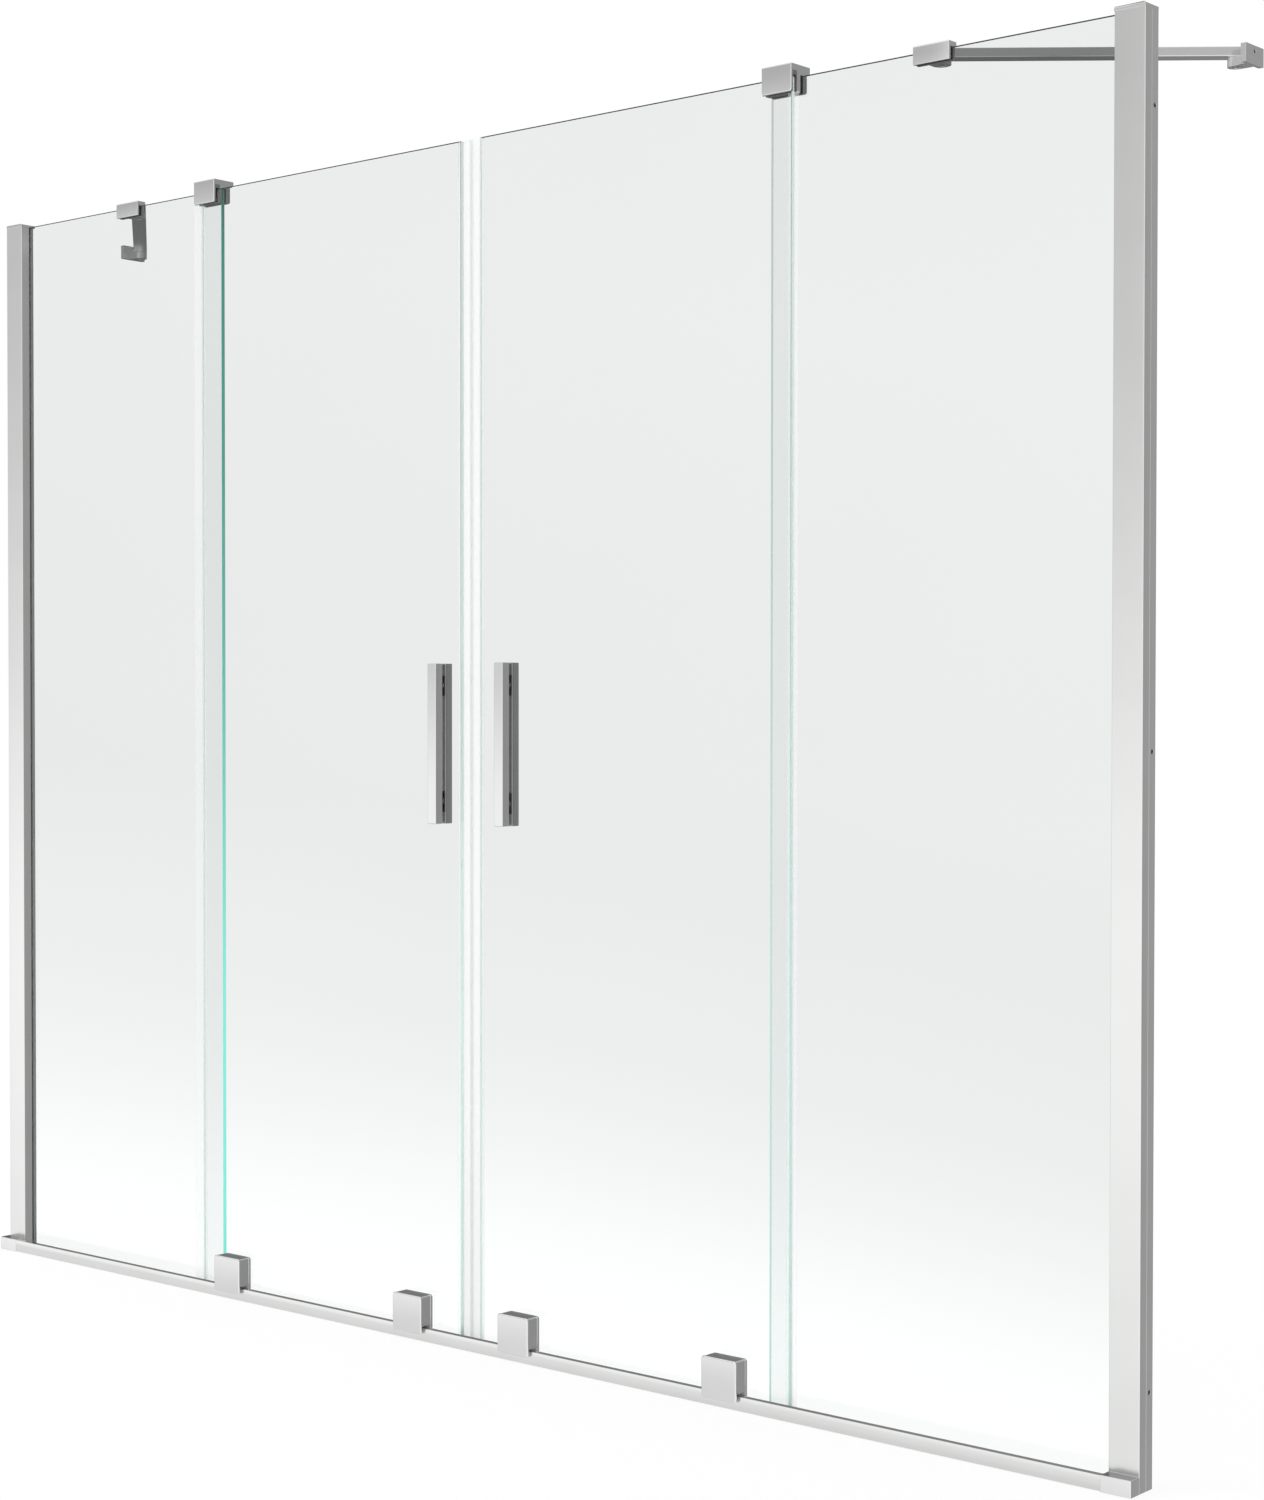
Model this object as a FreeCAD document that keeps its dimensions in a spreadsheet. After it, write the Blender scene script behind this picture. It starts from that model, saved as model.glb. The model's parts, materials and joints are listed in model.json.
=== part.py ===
import FreeCAD, Part
import os
import re
import Sketcher

# Sliding bath screen: two fixed panes in wall profiles, two doors that roll on a
# bottom rail in front of them, and two support bars back to the side walls.
# X runs along the screen, +Y over the bath, +Z up. The origin is on the rail's
# underside, halfway between the walls, in the plane of the doors' front faces.

os.makedirs("parts", exist_ok=True)
doc = FreeCAD.newDocument("BathScreen")
sheet = doc.addObject("Spreadsheet::Sheet", "Sizes")
sub_parts = []


class Size:
    """Driving dimensions in millimetres; each fills one aliased cell of the sheet."""
    # Whole screen
    screenWidth = 1800
    screenHeight = 1500
    glassThickness = 6
    glassArris = 0.6
    paneGap = 9                 # between a door's back and the fixed pane's front
    fixedTopDrop = 3            # fixed pane below the top of the screen
    doorTopDrop = 5
    doorBottom = 6
    leftFixedSight = 411        # fixed pane seen beside its profile
    rightFixedSight = 425
    leftOverlap = 26.6          # closed door beyond the fixed pane's free edge
    rightOverlap = 35.6
    meetingLine = 3             # where the two doors meet, from the middle
    # Profiles at the walls
    coverWidth = 34
    coverDepth = 14
    coverWall = 1.6
    coverCorner = 0.8
    channelBack = 27.5          # back of the wall profile, behind the door plane
    channelReach = 31
    channelLip = 9
    channelWall = 1.8
    wallHoleRadius = 2.75
    wallHoleEnd = 100           # end holes from each end of the profile
    paneInsert = 22             # fixed pane hidden in the wall profile
    gasketWall = 1.5
    gasketInset = 1
    capThickness = 4
    capLip = 0.4
    capEdge = 0.8
    slotRoom = 0.4              # round the pane in the cap
    plugDepth = 12
    plugRoom = 0.2
    # Bottom rail
    railHeight = 16.8
    railWall = 2
    railBase = 2.5
    trackFront = 17.2           # track's front edge, before the door plane
    trackBulge = 17.4
    bulgeHeight = 9.5
    trackBack = 9
    railFoot = 15.3
    sillRoom = 0.4              # between the fixed pane and the rail's lips
    sillLip = 1.4
    sillLipHeight = 6.5
    endCapFront = 18.1
    endCapHeight = 17.6
    endCapEdge = 1
    spigotBottom = 8
    # Top guides on the fixed panes' free corners
    guideWidth = 40
    guideOverhang = 2           # beyond the fixed pane's free edge
    guideFrontWall = 2.6
    guideBackWall = 7.2
    guideRise = 9               # above the screen's top
    guideHeight = 31
    guideWebHeight = 8
    guideWebReach = 3.6         # web behind the back wall
    guideCorner = 3.5
    doorSlotRise = 7            # slot's top above the door glass
    sliderWall = 0.9
    sliderRoom = 0.5            # between slider and door glass
    sliderTopRoom = 2
    linerWall = 1
    setScrewRadius = 2.5
    setScrewPitch = 20
    setScrewDrop = 20
    setScrewSink = 0.4
    threadRoom = 0.05
    # Support bars, their clamps and wall brackets
    clampInset = 253            # from the side wall
    clampWidth = 44.6
    clampHeight = 20
    clampRise = 4
    clampFrontWall = 3
    clampBackWall = 4
    clampEdge = 0.6
    earRadius = 10
    earHeight = 10
    earReach = 10               # ear's centre behind the clamp
    earRoot = 2
    barWidth = 20
    barHeight = 10
    barRise = 0.5
    barEndRoom = 1
    barEdge = 0.5
    bracketPlace = 246          # bar's wall end, behind the door plane
    bracketLength = 43
    bracketWall = 6
    bracketEar = 14             # ear's centre from the plate
    bracketHoleRadius = 2.6
    bracketHoleDrop = 5.5
    barScrewRadius = 3
    barScrewHead = 5
    barScrewHeadHeight = 3
    barScrewGrip = 3.2
    barScrewBite = 7
    headRoom = 0.3
    # Doors' seals
    magnetReach = 15.5          # magnet seal from glass to meeting line
    meetingRoom = 0.2
    sealWall = 1
    sealLap = 4
    magnetSealDrop = 0.5        # below the door glass's top
    chamberWall = 1.2
    finReach = 12
    finLean = 3.5               # fin's tip before the door glass
    finWall = 1.2
    edgeSealTopDrop = 24
    edgeSealBottom = 8
    # Handles
    leftHandleInset = 36.5      # from the door glass's meeting edge
    rightHandleInset = 41.5
    handleWidth = 14
    handleDepth = 12.8
    handleLength = 200
    handleMiddle = 750
    handleEdge = 1
    handleBoltPitch = 145
    handleBoltRadius = 3
    handleBoltHead = 4.5
    handleBoltBite = 9
    handleHeadDepth = 3
    glassHoleRadius = 5
    padThickness = 1.2
    padHeight = 25
    padInset = 0.5
    # Roller carriages
    innerRollerInset = 71.5     # from the door glass's meeting edge
    leftOuterRollerInset = 68.5     # from the door glass's outer edge
    rightOuterRollerInset = 80.5
    carriageWidth = 48.5
    carriageHeight = 47.8
    carriageBottom = 9.5
    carriageFront = 22.8
    carriageCorner = 4
    carriagePlate = 2
    carriageStep = 0.6          # housing set in behind the front plate
    housingWall = 1.8
    housingBottom = 19.5
    housingCorner = 3.4
    baseThickness = 4
    baseBottom = 12
    baseBoltPitch = 18
    baseBoltHeight = 46
    baseBoltRadius = 3
    baseBoltHead = 6.5
    baseBoltHeadHeight = 2.5
    wheelTread = 12
    wheelFlange = 13.8
    wheelCheek = 1.4
    wheelSideRoom = 0.4
    wheelLift = 0.3
    journalRadius = 3
    journalRoom = 0.05
    axleShoulder = 5
    axleHeadHeight = 1
    axleEndRoom = 0.2


size_names = [name for name in vars(Size) if not name.startswith("_")]
for row, name in enumerate(size_names, 1):
    sheet.set(f"A{row}", name)
    sheet.set(f"B{row}", str(getattr(Size, name)))
    sheet.setAlias(f"B{row}", name)
doc.recompute()

SIDES = {"left": -1, "right": 1}

# Places worked out from the driving dimensions
COVER_EDGE = "(screenWidth / 2 - coverWidth)"
PROFILE_TOP = "(screenHeight - capThickness)"
FIXED_FRONT = "(glassThickness + paneGap)"
FIXED_BACK = "(2 * glassThickness + paneGap)"
FIXED_TOP = "(screenHeight - fixedTopDrop)"
PANE_HIDDEN = f"({COVER_EDGE} + paneInsert)"
DOOR_TOP = "(screenHeight - doorTopDrop)"
LINER_FRONT = f"({FIXED_FRONT} - linerWall)"
LINER_BACK = f"({FIXED_BACK} + linerWall)"
LINER_TOP = f"({FIXED_TOP} + linerWall)"
GUIDE_TOP = "(screenHeight + guideRise)"
GUIDE_BOTTOM = f"({GUIDE_TOP} - guideHeight)"
SLIDER_FRONT = "(-sliderRoom - sliderWall)"
SLIDER_BACK = "(glassThickness + sliderRoom + sliderWall)"
SLIDER_TOP = f"({DOOR_TOP} + doorSlotRise)"
CLAMP_PLACE = "(screenWidth / 2 - clampInset)"
CLAMP_TOP = "(screenHeight + clampRise)"
CLAMP_BOTTOM = f"({CLAMP_TOP} - clampHeight)"
CLAMP_BACK = f"({LINER_BACK} + clampBackWall)"
BAR_BOTTOM = "(screenHeight + barRise - barHeight)"
EAR_BOTTOM = f"({BAR_BOTTOM} - earHeight)"
SCREW_SEAT = f"({BAR_BOTTOM} - barScrewGrip)"
BRACKET_FACE = "(screenWidth / 2 - bracketWall)"
BAR_NEAR_Y = f"({CLAMP_BACK} + earReach)"
BAR_FAR_X = f"({BRACKET_FACE} - bracketEar)"
BAR_RUN_X = f"({BAR_FAR_X} - {CLAMP_PLACE})"
BAR_RUN_Y = f"(bracketPlace - {BAR_NEAR_Y})"
BAR_RUN = f"sqrt({BAR_RUN_X} ^ 2 + {BAR_RUN_Y} ^ 2)"
HANDLE_SEAT = "(glassThickness + padThickness + handleDepth - handleHeadDepth - headRoom)"
AXLE_HEIGHT = "(railHeight + wheelLift + wheelTread)"
WHEEL_FRONT = "(-trackBulge - wheelSideRoom - wheelCheek)"
WHEEL_BACK = "(-trackBack + wheelSideRoom + wheelCheek)"


def door_inner(sign):
    return f"(meetingLine + {sign} * (magnetReach + meetingRoom / 2))"


def pane_edge(side):
    """Fixed pane's free edge, from the middle of the screen."""
    return f"({COVER_EDGE} - {side}FixedSight)"


def door_outer(side, sign):
    return f"({sign} * ({pane_edge(side)} + {side}Overlap))"


def roller_places(side, sign):
    """Middles of a door's inner and outer carriages."""
    return {"inner": f"({door_inner(sign)} + {sign} * innerRollerInset)",
            "outer": f"({door_outer(side, sign)} - {sign} * {side}OuterRollerInset)"}


def handle_place(side, sign):
    return f"({door_inner(sign)} + {sign} * {side}HandleInset)"


def named(formula):
    """Expression text in which each size is read from the sheet."""
    def cell(match):
        word = match.group()
        return "Sizes." + word if word in size_names else word
    return re.sub(r"[A-Za-z]\w*", cell, str(formula))


def value(formula):
    """Present value of a formula, in millimetres."""
    return float(sheet.evalExpression(named(formula)))


def bind(item, path, formula):
    item.setExpression(path, named(formula))


def place(item, x=0, y=0, z=0):
    """Binds where an item stands."""
    for axis, formula in zip("xyz", (x, y, z)):
        bind(item, "Placement.Base." + axis, formula)


def keep(item, name):
    item.Label = name
    sub_parts.append(item)
    return item


def new_body(name):
    return keep(doc.addObject("PartDesign::Body", name), name)


def sketch_in(body, role, title, offset=0):
    """Sketch on one of the body's own origin planes, moved along its normal."""
    sketch = body.newObject("Sketcher::SketchObject", body.Name + "_" + title)
    plane = next(item for item in body.Origin.OriginFeatures if item.Role == role)
    sketch.AttachmentSupport = (plane, [""])
    sketch.MapMode = "FlatFace"
    bind(sketch, "AttachmentOffset.Base.z", offset)
    return sketch


def hold(sketch, geometry, point, x, y):
    """Dimensions one sketch point from the sketch's origin."""
    for kind, formula in (("DistanceX", x), ("DistanceY", y)):
        number = sketch.addConstraint(
            Sketcher.Constraint(kind, -1, 1, geometry, point, value(formula)))
        bind(sketch, "Constraints[%d]" % number, formula)


def sketch_point(x, y):
    return FreeCAD.Vector(value(x), value(y), 0)


def end_at(sketch, line, point):
    """Which end of a sketch line, 1 or 2, lies at a point."""
    first = sketch.getPoint(line, 1).distanceToPoint(point)
    second = sketch.getPoint(line, 2).distanceToPoint(point)
    return 1 if first < second else 2


def outline(sketch, corners):
    """Closed outline; a third item makes the way to that corner an arc through a point."""
    points = [sketch_point(corner[0], corner[1]) for corner in corners]
    lines = []
    for index, corner in enumerate(corners):
        if len(corner) == 3:
            curve = Part.Arc(points[index - 1], sketch_point(*corner[2]), points[index])
        else:
            curve = Part.LineSegment(points[index - 1], points[index])
        lines.append(sketch.addGeometry(curve, False))
    for index, corner in enumerate(corners):
        line = lines[index]
        following = lines[(index + 1) % len(lines)]
        end = end_at(sketch, line, points[index])
        start = end_at(sketch, following, points[index])
        sketch.addConstraint(Sketcher.Constraint("Coincident", line, end, following, start))
        hold(sketch, line, end, corner[0], corner[1])
        if len(corner) == 3:
            on_arc = sketch.addGeometry(Part.Point(sketch_point(*corner[2])), True)
            hold(sketch, on_arc, 1, *corner[2])
            sketch.addConstraint(Sketcher.Constraint("PointOnObject", on_arc, 1, line))
    return sketch


def box_corners(x0, x1, y0, y1):
    return [(x0, y0), (x1, y0), (x1, y1), (x0, y1)]


def pad(body, sketch, length):
    feature = body.newObject("PartDesign::Pad", sketch.Name + "_pad")
    feature.Profile = sketch
    bind(feature, "Length", length)
    sketch.Visibility = False
    doc.recompute()
    return feature


def raised(body, title, bottom, top, *outlines):
    """Plan outlines drawn in X and Y, raised between two heights."""
    sketch = sketch_in(body, "XY_Plane", title, bottom)
    for corners in outlines:
        outline(sketch, corners)
    return pad(body, sketch, f"({top}) - ({bottom})")


def plate(body, title, front, back, *outlines):
    """Front view outlines drawn in X and Z, made solid from a front to a back."""
    sketch = sketch_in(body, "XZ_Plane", title, f"-({back})")
    for corners in outlines:
        outline(sketch, corners)
    return pad(body, sketch, f"({back}) - ({front})")


def extrusion(body, title, middle, length, *outlines):
    """Section outlines drawn in Y and Z, drawn out along X about a middle."""
    sketch = sketch_in(body, "YZ_Plane", title, f"({middle}) - ({length}) / 2")
    for corners in outlines:
        outline(sketch, corners)
    return pad(body, sketch, length)


AXIS_TURN = {
    "x": FreeCAD.Rotation(FreeCAD.Vector(0, 1, 0), 90),
    "y": FreeCAD.Rotation(FreeCAD.Vector(1, 0, 0), -90),
    "z": FreeCAD.Rotation(),
}


def round_shape(item, axis, start, radius, length):
    """Sizes and places a cylinder that runs along an axis from its start point."""
    item.Placement = FreeCAD.Placement(FreeCAD.Vector(), AXIS_TURN[axis])
    bind(item, "Radius", radius)
    bind(item, "Height", length)
    place(item, *start)
    return item


def boss(body, title, axis, start, radius, length):
    feature = body.newObject("PartDesign::AdditiveCylinder", body.Name + "_" + title)
    round_shape(feature, axis, start, radius, length)
    doc.recompute()
    return feature


def hole(body, title, axis, start, radius, length):
    feature = body.newObject("PartDesign::SubtractiveCylinder", body.Name + "_" + title)
    round_shape(feature, axis, start, radius, length)
    doc.recompute()
    return feature


def cylinder(name, axis, start, radius, length):
    """Plain round solid, for fasteners."""
    return round_shape(doc.addObject("Part::Cylinder", name), axis, start, radius, length)


def fused(name, solids):
    joined = doc.addObject("Part::MultiFuse", name)
    joined.Shapes = solids
    return joined


def group(name, solids):
    together = doc.addObject("Part::Compound", name)
    together.Links = solids
    return keep(together, name)


def dress(body, kind, feature, wanted, amount):
    """Rounds or breaks those straight edges of a feature that pass a test."""
    chosen = []
    for number, edge in enumerate(feature.Shape.Edges, 1):
        if edge.Curve.TypeId != "Part::GeomLine":
            continue
        if wanted(edge.tangentAt(edge.FirstParameter), edge.CenterOfMass):
            chosen.append("Edge%d" % number)
    finish = body.newObject("PartDesign::" + kind, feature.Name + "_" + kind.lower())
    finish.Base = (feature, chosen)
    bind(finish, "Radius" if kind == "Fillet" else "Size", amount)
    doc.recompute()
    return finish


X_AXIS = FreeCAD.Vector(1, 0, 0)
Y_AXIS = FreeCAD.Vector(0, 1, 0)
Z_AXIS = FreeCAD.Vector(0, 0, 1)
CLOSE = FreeCAD.Base.Precision.approximation()


def is_along(direction, axis):
    return direction.isParallel(axis, CLOSE)


def is_at(coordinate, formula):
    return abs(coordinate - value(formula)) < CLOSE


def every_edge(along, middle):
    return True


def round_the_face(along, middle):
    """Edges round the front and back of a plate."""
    return not is_along(along, Y_AXIS)


def through_thickness(along, middle):
    return is_along(along, Y_AXIS)


def on_top(height):
    return lambda along, middle: is_at(middle.z, height)


# Wall profiles: aluminium channels against the side walls, drilled for three wall
# screws. The fixed pane stands between the channel's back and the cover profile.
for side, sign in SIDES.items():
    body = new_body(side + "_wall_profile")
    wall_x = f"{sign} * screenWidth / 2"
    web_x = f"{sign} * (screenWidth / 2 - channelWall)"
    lip_x = f"{sign} * (screenWidth / 2 - channelLip)"
    mouth_x = f"{sign} * (screenWidth / 2 - channelReach)"
    raised(body, "section", 0, PROFILE_TOP, [
        (wall_x, "coverDepth"),
        (wall_x, "channelBack"),
        (mouth_x, "channelBack"),
        (mouth_x, "channelBack - channelWall"),
        (web_x, "channelBack - channelWall"),
        (web_x, "coverDepth + channelWall"),
        (lip_x, "coverDepth + channelWall"),
        (lip_x, "coverDepth"),
    ])
    web_start = f"{sign} * (screenWidth - channelWall) / 2 - channelWall / 2"
    heights = {"low": "wallHoleEnd", "middle": "screenHeight / 2",
               "high": "screenHeight - wallHoleEnd"}
    for title, height in heights.items():
        start = (web_start, "(coverDepth + channelBack) / 2", height)
        hole(body, title, "x", start, "wallHoleRadius", "channelWall")

# Cover profiles: hollow aluminium boxes in front of the wall profiles, which the
# open doors stop short of.
for side, sign in SIDES.items():
    body = new_body(side + "_cover_profile")
    tube = raised(
        body, "section", 0, PROFILE_TOP,
        box_corners("-coverWidth / 2", "coverWidth / 2", 0, "coverDepth"),
        box_corners("-coverWidth / 2 + coverWall", "coverWidth / 2 - coverWall",
                    "coverWall", "coverDepth - coverWall"))

    def front_corner(along, middle):
        return is_along(along, Z_AXIS) and is_at(middle.y, 0)

    dress(body, "Fillet", tube, front_corner, "coverCorner")
    place(body, f"{sign} * (screenWidth - coverWidth) / 2")

# Profile caps: moulded caps that close both profiles at the top, with a plug in the
# cover profile and a slot over the fixed pane.
for side, sign in SIDES.items():
    body = new_body(side + "_profile_cap")
    inner_x = f"{sign} * ({COVER_EDGE} - capLip)"
    slot_x = f"{sign} * ({PANE_HIDDEN} + slotRoom)"
    wall_x = f"{sign} * screenWidth / 2"
    slot_front = f"{FIXED_FRONT} - slotRoom"
    slot_back = f"{FIXED_BACK} + slotRoom"
    slot_top = f"{FIXED_TOP} + slotRoom"
    raised(body, "slotted", PROFILE_TOP, slot_top, [
        (inner_x, "-capLip"),
        (wall_x, "-capLip"),
        (wall_x, "channelBack + capLip"),
        (inner_x, "channelBack + capLip"),
        (inner_x, slot_back),
        (slot_x, slot_back),
        (slot_x, slot_front),
        (inner_x, slot_front),
    ])
    lid = raised(body, "lid", slot_top, "screenHeight",
                 box_corners(inner_x, wall_x, "-capLip", "channelBack + capLip"))
    dress(body, "Fillet", lid, on_top("screenHeight"), "capEdge")
    raised(body, "plug", f"{PROFILE_TOP} - plugDepth", PROFILE_TOP,
           box_corners(f"{sign} * ({COVER_EDGE} + coverWall + plugRoom)",
                       f"{sign} * (screenWidth / 2 - coverWall - plugRoom)",
                       "coverWall + plugRoom", "coverDepth - coverWall - plugRoom"))

# Glazing gaskets: clear channels that seat the fixed pane's edge between the cover
# profile and the wall profile's back.
for side, sign in SIDES.items():
    body = new_body(side + "_glazing_gasket")
    open_x = f"{sign} * ({COVER_EDGE} + gasketInset)"
    pane_x = f"{sign} * {PANE_HIDDEN}"
    closed_x = f"{sign} * ({PANE_HIDDEN} + gasketWall)"
    raised(body, "section", 0, PROFILE_TOP, [
        (open_x, "coverDepth"),
        (closed_x, "coverDepth"),
        (closed_x, "channelBack - channelWall"),
        (f"{sign} * (screenWidth / 2 - channelReach)", "channelBack - channelWall"),
        (open_x, FIXED_BACK),
        (pane_x, FIXED_BACK),
        (pane_x, FIXED_FRONT),
        (open_x, FIXED_FRONT),
    ])

# Fixed panes: toughened glass that stands on the rail and in the wall profile.
for side, sign in SIDES.items():
    body = new_body(side + "_fixed_glass")
    pane = plate(body, "pane", FIXED_FRONT, FIXED_BACK,
                 box_corners(f"{sign} * {pane_edge(side)}", f"{sign} * {PANE_HIDDEN}",
                             "railBase", FIXED_TOP))
    dress(body, "Chamfer", pane, round_the_face, "glassArris")

# Bottom rail: one aluminium extrusion on the bath's rim. Its hollow ridge is the
# roller track, and two low lips at the back hold the fixed panes.
body = new_body("bottom_rail")
front_lip = f"{FIXED_FRONT} - sillRoom"
back_lip = f"{FIXED_BACK} + sillRoom"
extrusion(
    body, "section", 0, f"2 * {COVER_EDGE}",
    [
        ("-trackFront", "railHeight", ("-trackBulge", "bulgeHeight")),
        ("-trackBack", "railHeight"),
        ("-trackBack", "railBase"),
        (f"{front_lip} - sillLip", "railBase"),
        (f"{front_lip} - sillLip", "sillLipHeight"),
        (front_lip, "sillLipHeight"),
        (front_lip, "railBase"),
        (back_lip, "railBase"),
        (back_lip, "sillLipHeight"),
        (f"{back_lip} + sillLip", "sillLipHeight"),
        (f"{back_lip} + sillLip", 0),
        ("-railFoot", 0),
    ],
    [
        ("railWall - trackFront", "railHeight - railWall",
         ("railWall - trackBulge", "bulgeHeight")),
        ("-trackBack - railWall", "railHeight - railWall"),
        ("-trackBack - railWall", "railWall"),
        ("railWall - railFoot", "railWall"),
    ])

# Rail end caps: blocks in front of the cover profiles that finish the track, each
# with a spigot in the rail's hollow.
for side, sign in SIDES.items():
    body = new_body(side + "_rail_end_cap")
    block = extrusion(body, "block", f"{sign} * (screenWidth - coverWidth) / 2", "coverWidth",
                      box_corners("-endCapFront", 0, 0, "endCapHeight"))

    def front_or_top(along, middle):
        on_front = is_at(middle.y, "-endCapFront") and not is_along(along, X_AXIS)
        return on_front or is_at(middle.z, "endCapHeight")

    dress(body, "Fillet", block, front_or_top, "endCapEdge")
    extrusion(body, "spigot", f"{sign} * ({COVER_EDGE} - plugDepth / 2)", "plugDepth",
              box_corners("railWall + plugRoom - trackFront", "-trackBack - railWall - plugRoom",
                          "spigotBottom", "railHeight - railWall - plugRoom"))

# Top guides: metal saddles clamped on the fixed panes' free corners. The front slot
# runs over the door's top edge.
for side, sign in SIDES.items():
    guide_x = f"{sign} * ({pane_edge(side)} - guideOverhang + guideWidth / 2)"
    front = f"{SLIDER_FRONT} - guideFrontWall"
    back = f"{LINER_BACK} + guideBackWall"
    web_bottom = f"{GUIDE_TOP} - guideWebHeight"
    body = new_body(side + "_top_guide")
    saddle = extrusion(body, "saddle", guide_x, "guideWidth", [
        (front, GUIDE_BOTTOM),
        (SLIDER_FRONT, GUIDE_BOTTOM),
        (SLIDER_FRONT, SLIDER_TOP),
        (SLIDER_BACK, SLIDER_TOP),
        (SLIDER_BACK, GUIDE_BOTTOM),
        (LINER_FRONT, GUIDE_BOTTOM),
        (LINER_FRONT, LINER_TOP),
        (LINER_BACK, LINER_TOP),
        (LINER_BACK, GUIDE_BOTTOM),
        (back, GUIDE_BOTTOM),
        (back, web_bottom),
        (f"{back} + guideWebReach", web_bottom),
        (f"{back} + guideWebReach", GUIDE_TOP),
        (front, GUIDE_TOP),
    ])

    def low_corner(along, middle):
        of_front = is_along(along, Y_AXIS) and middle.y < 0
        at_back = is_along(along, X_AXIS) and is_at(middle.y, back)
        return is_at(middle.z, GUIDE_BOTTOM) and (of_front or at_back)

    dress(body, "Fillet", saddle, low_corner, "guideCorner")
    for title, step in (("outer", -1), ("inner", 1)):
        start = (f"{guide_x} + {step} * setScrewPitch / 2", LINER_BACK,
                 f"{GUIDE_TOP} - setScrewDrop")
        hole(body, title, "y", start, "setScrewRadius + threadRoom", "guideBackWall")

    liner = new_body(side + "_guide_liner")
    extrusion(liner, "section", guide_x, "guideWidth", [
        (LINER_FRONT, GUIDE_BOTTOM),
        (LINER_FRONT, LINER_TOP),
        (LINER_BACK, LINER_TOP),
        (LINER_BACK, GUIDE_BOTTOM),
        (FIXED_BACK, GUIDE_BOTTOM),
        (FIXED_BACK, FIXED_TOP),
        (FIXED_FRONT, FIXED_TOP),
        (FIXED_FRONT, GUIDE_BOTTOM),
    ])

    slider = new_body(side + "_guide_slider")
    extrusion(slider, "section", guide_x, "guideWidth", [
        (SLIDER_FRONT, GUIDE_BOTTOM),
        (SLIDER_FRONT, SLIDER_TOP),
        (SLIDER_BACK, SLIDER_TOP),
        (SLIDER_BACK, GUIDE_BOTTOM),
        ("glassThickness + sliderRoom", GUIDE_BOTTOM),
        ("glassThickness + sliderRoom", f"{DOOR_TOP} + sliderTopRoom"),
        ("-sliderRoom", f"{DOOR_TOP} + sliderTopRoom"),
        ("-sliderRoom", GUIDE_BOTTOM),
    ])

set_screws = []
for side, sign in SIDES.items():
    guide_x = f"{sign} * ({pane_edge(side)} - guideOverhang + guideWidth / 2)"
    for title, step in (("outer", -1), ("inner", 1)):
        start = (f"{guide_x} + {step} * setScrewPitch / 2", LINER_BACK,
                 f"{GUIDE_TOP} - setScrewDrop")
        set_screws.append(cylinder(f"{side}_{title}_set_screw", "y", start, "setScrewRadius",
                                   "guideBackWall - setScrewSink"))
group("guide_screws", set_screws)

# Bar clamps: metal saddles on the fixed panes' top edges, each with an ear behind it
# that the support bar lies on.
for side, sign in SIDES.items():
    clamp_x = f"{sign} * {CLAMP_PLACE}"
    body = new_body(side + "_bar_clamp")
    saddle = extrusion(body, "saddle", clamp_x, "clampWidth", [
        (f"{LINER_FRONT} - clampFrontWall", CLAMP_BOTTOM),
        (LINER_FRONT, CLAMP_BOTTOM),
        (LINER_FRONT, LINER_TOP),
        (LINER_BACK, LINER_TOP),
        (LINER_BACK, CLAMP_BOTTOM),
        (CLAMP_BACK, CLAMP_BOTTOM),
        (CLAMP_BACK, CLAMP_TOP),
        (f"{LINER_FRONT} - clampFrontWall", CLAMP_TOP),
    ])
    dress(body, "Chamfer", saddle, on_top(CLAMP_TOP), "clampEdge")
    ear_root = f"{CLAMP_BACK} - earRoot"
    raised(body, "ear", CLAMP_BOTTOM, BAR_BOTTOM, [
        (f"{clamp_x} - earRadius", ear_root),
        (f"{clamp_x} + earRadius", ear_root),
        (f"{clamp_x} + earRadius", BAR_NEAR_Y),
        (f"{clamp_x} - earRadius", BAR_NEAR_Y, (clamp_x, f"{BAR_NEAR_Y} + earRadius")),
    ])
    hole(body, "screw_hole", "z", (clamp_x, BAR_NEAR_Y, SCREW_SEAT),
         "barScrewRadius + threadRoom", "barScrewGrip")
    hole(body, "head_hole", "z", (clamp_x, BAR_NEAR_Y, CLAMP_BOTTOM),
         "barScrewHead + headRoom", f"{SCREW_SEAT} - {CLAMP_BOTTOM}")

    liner = new_body(side + "_clamp_liner")
    extrusion(liner, "section", clamp_x, "clampWidth", [
        (LINER_FRONT, CLAMP_BOTTOM),
        (LINER_FRONT, LINER_TOP),
        (LINER_BACK, LINER_TOP),
        (LINER_BACK, CLAMP_BOTTOM),
        (FIXED_BACK, CLAMP_BOTTOM),
        (FIXED_BACK, FIXED_TOP),
        (FIXED_FRONT, FIXED_TOP),
        (FIXED_FRONT, CLAMP_BOTTOM),
    ])

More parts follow.
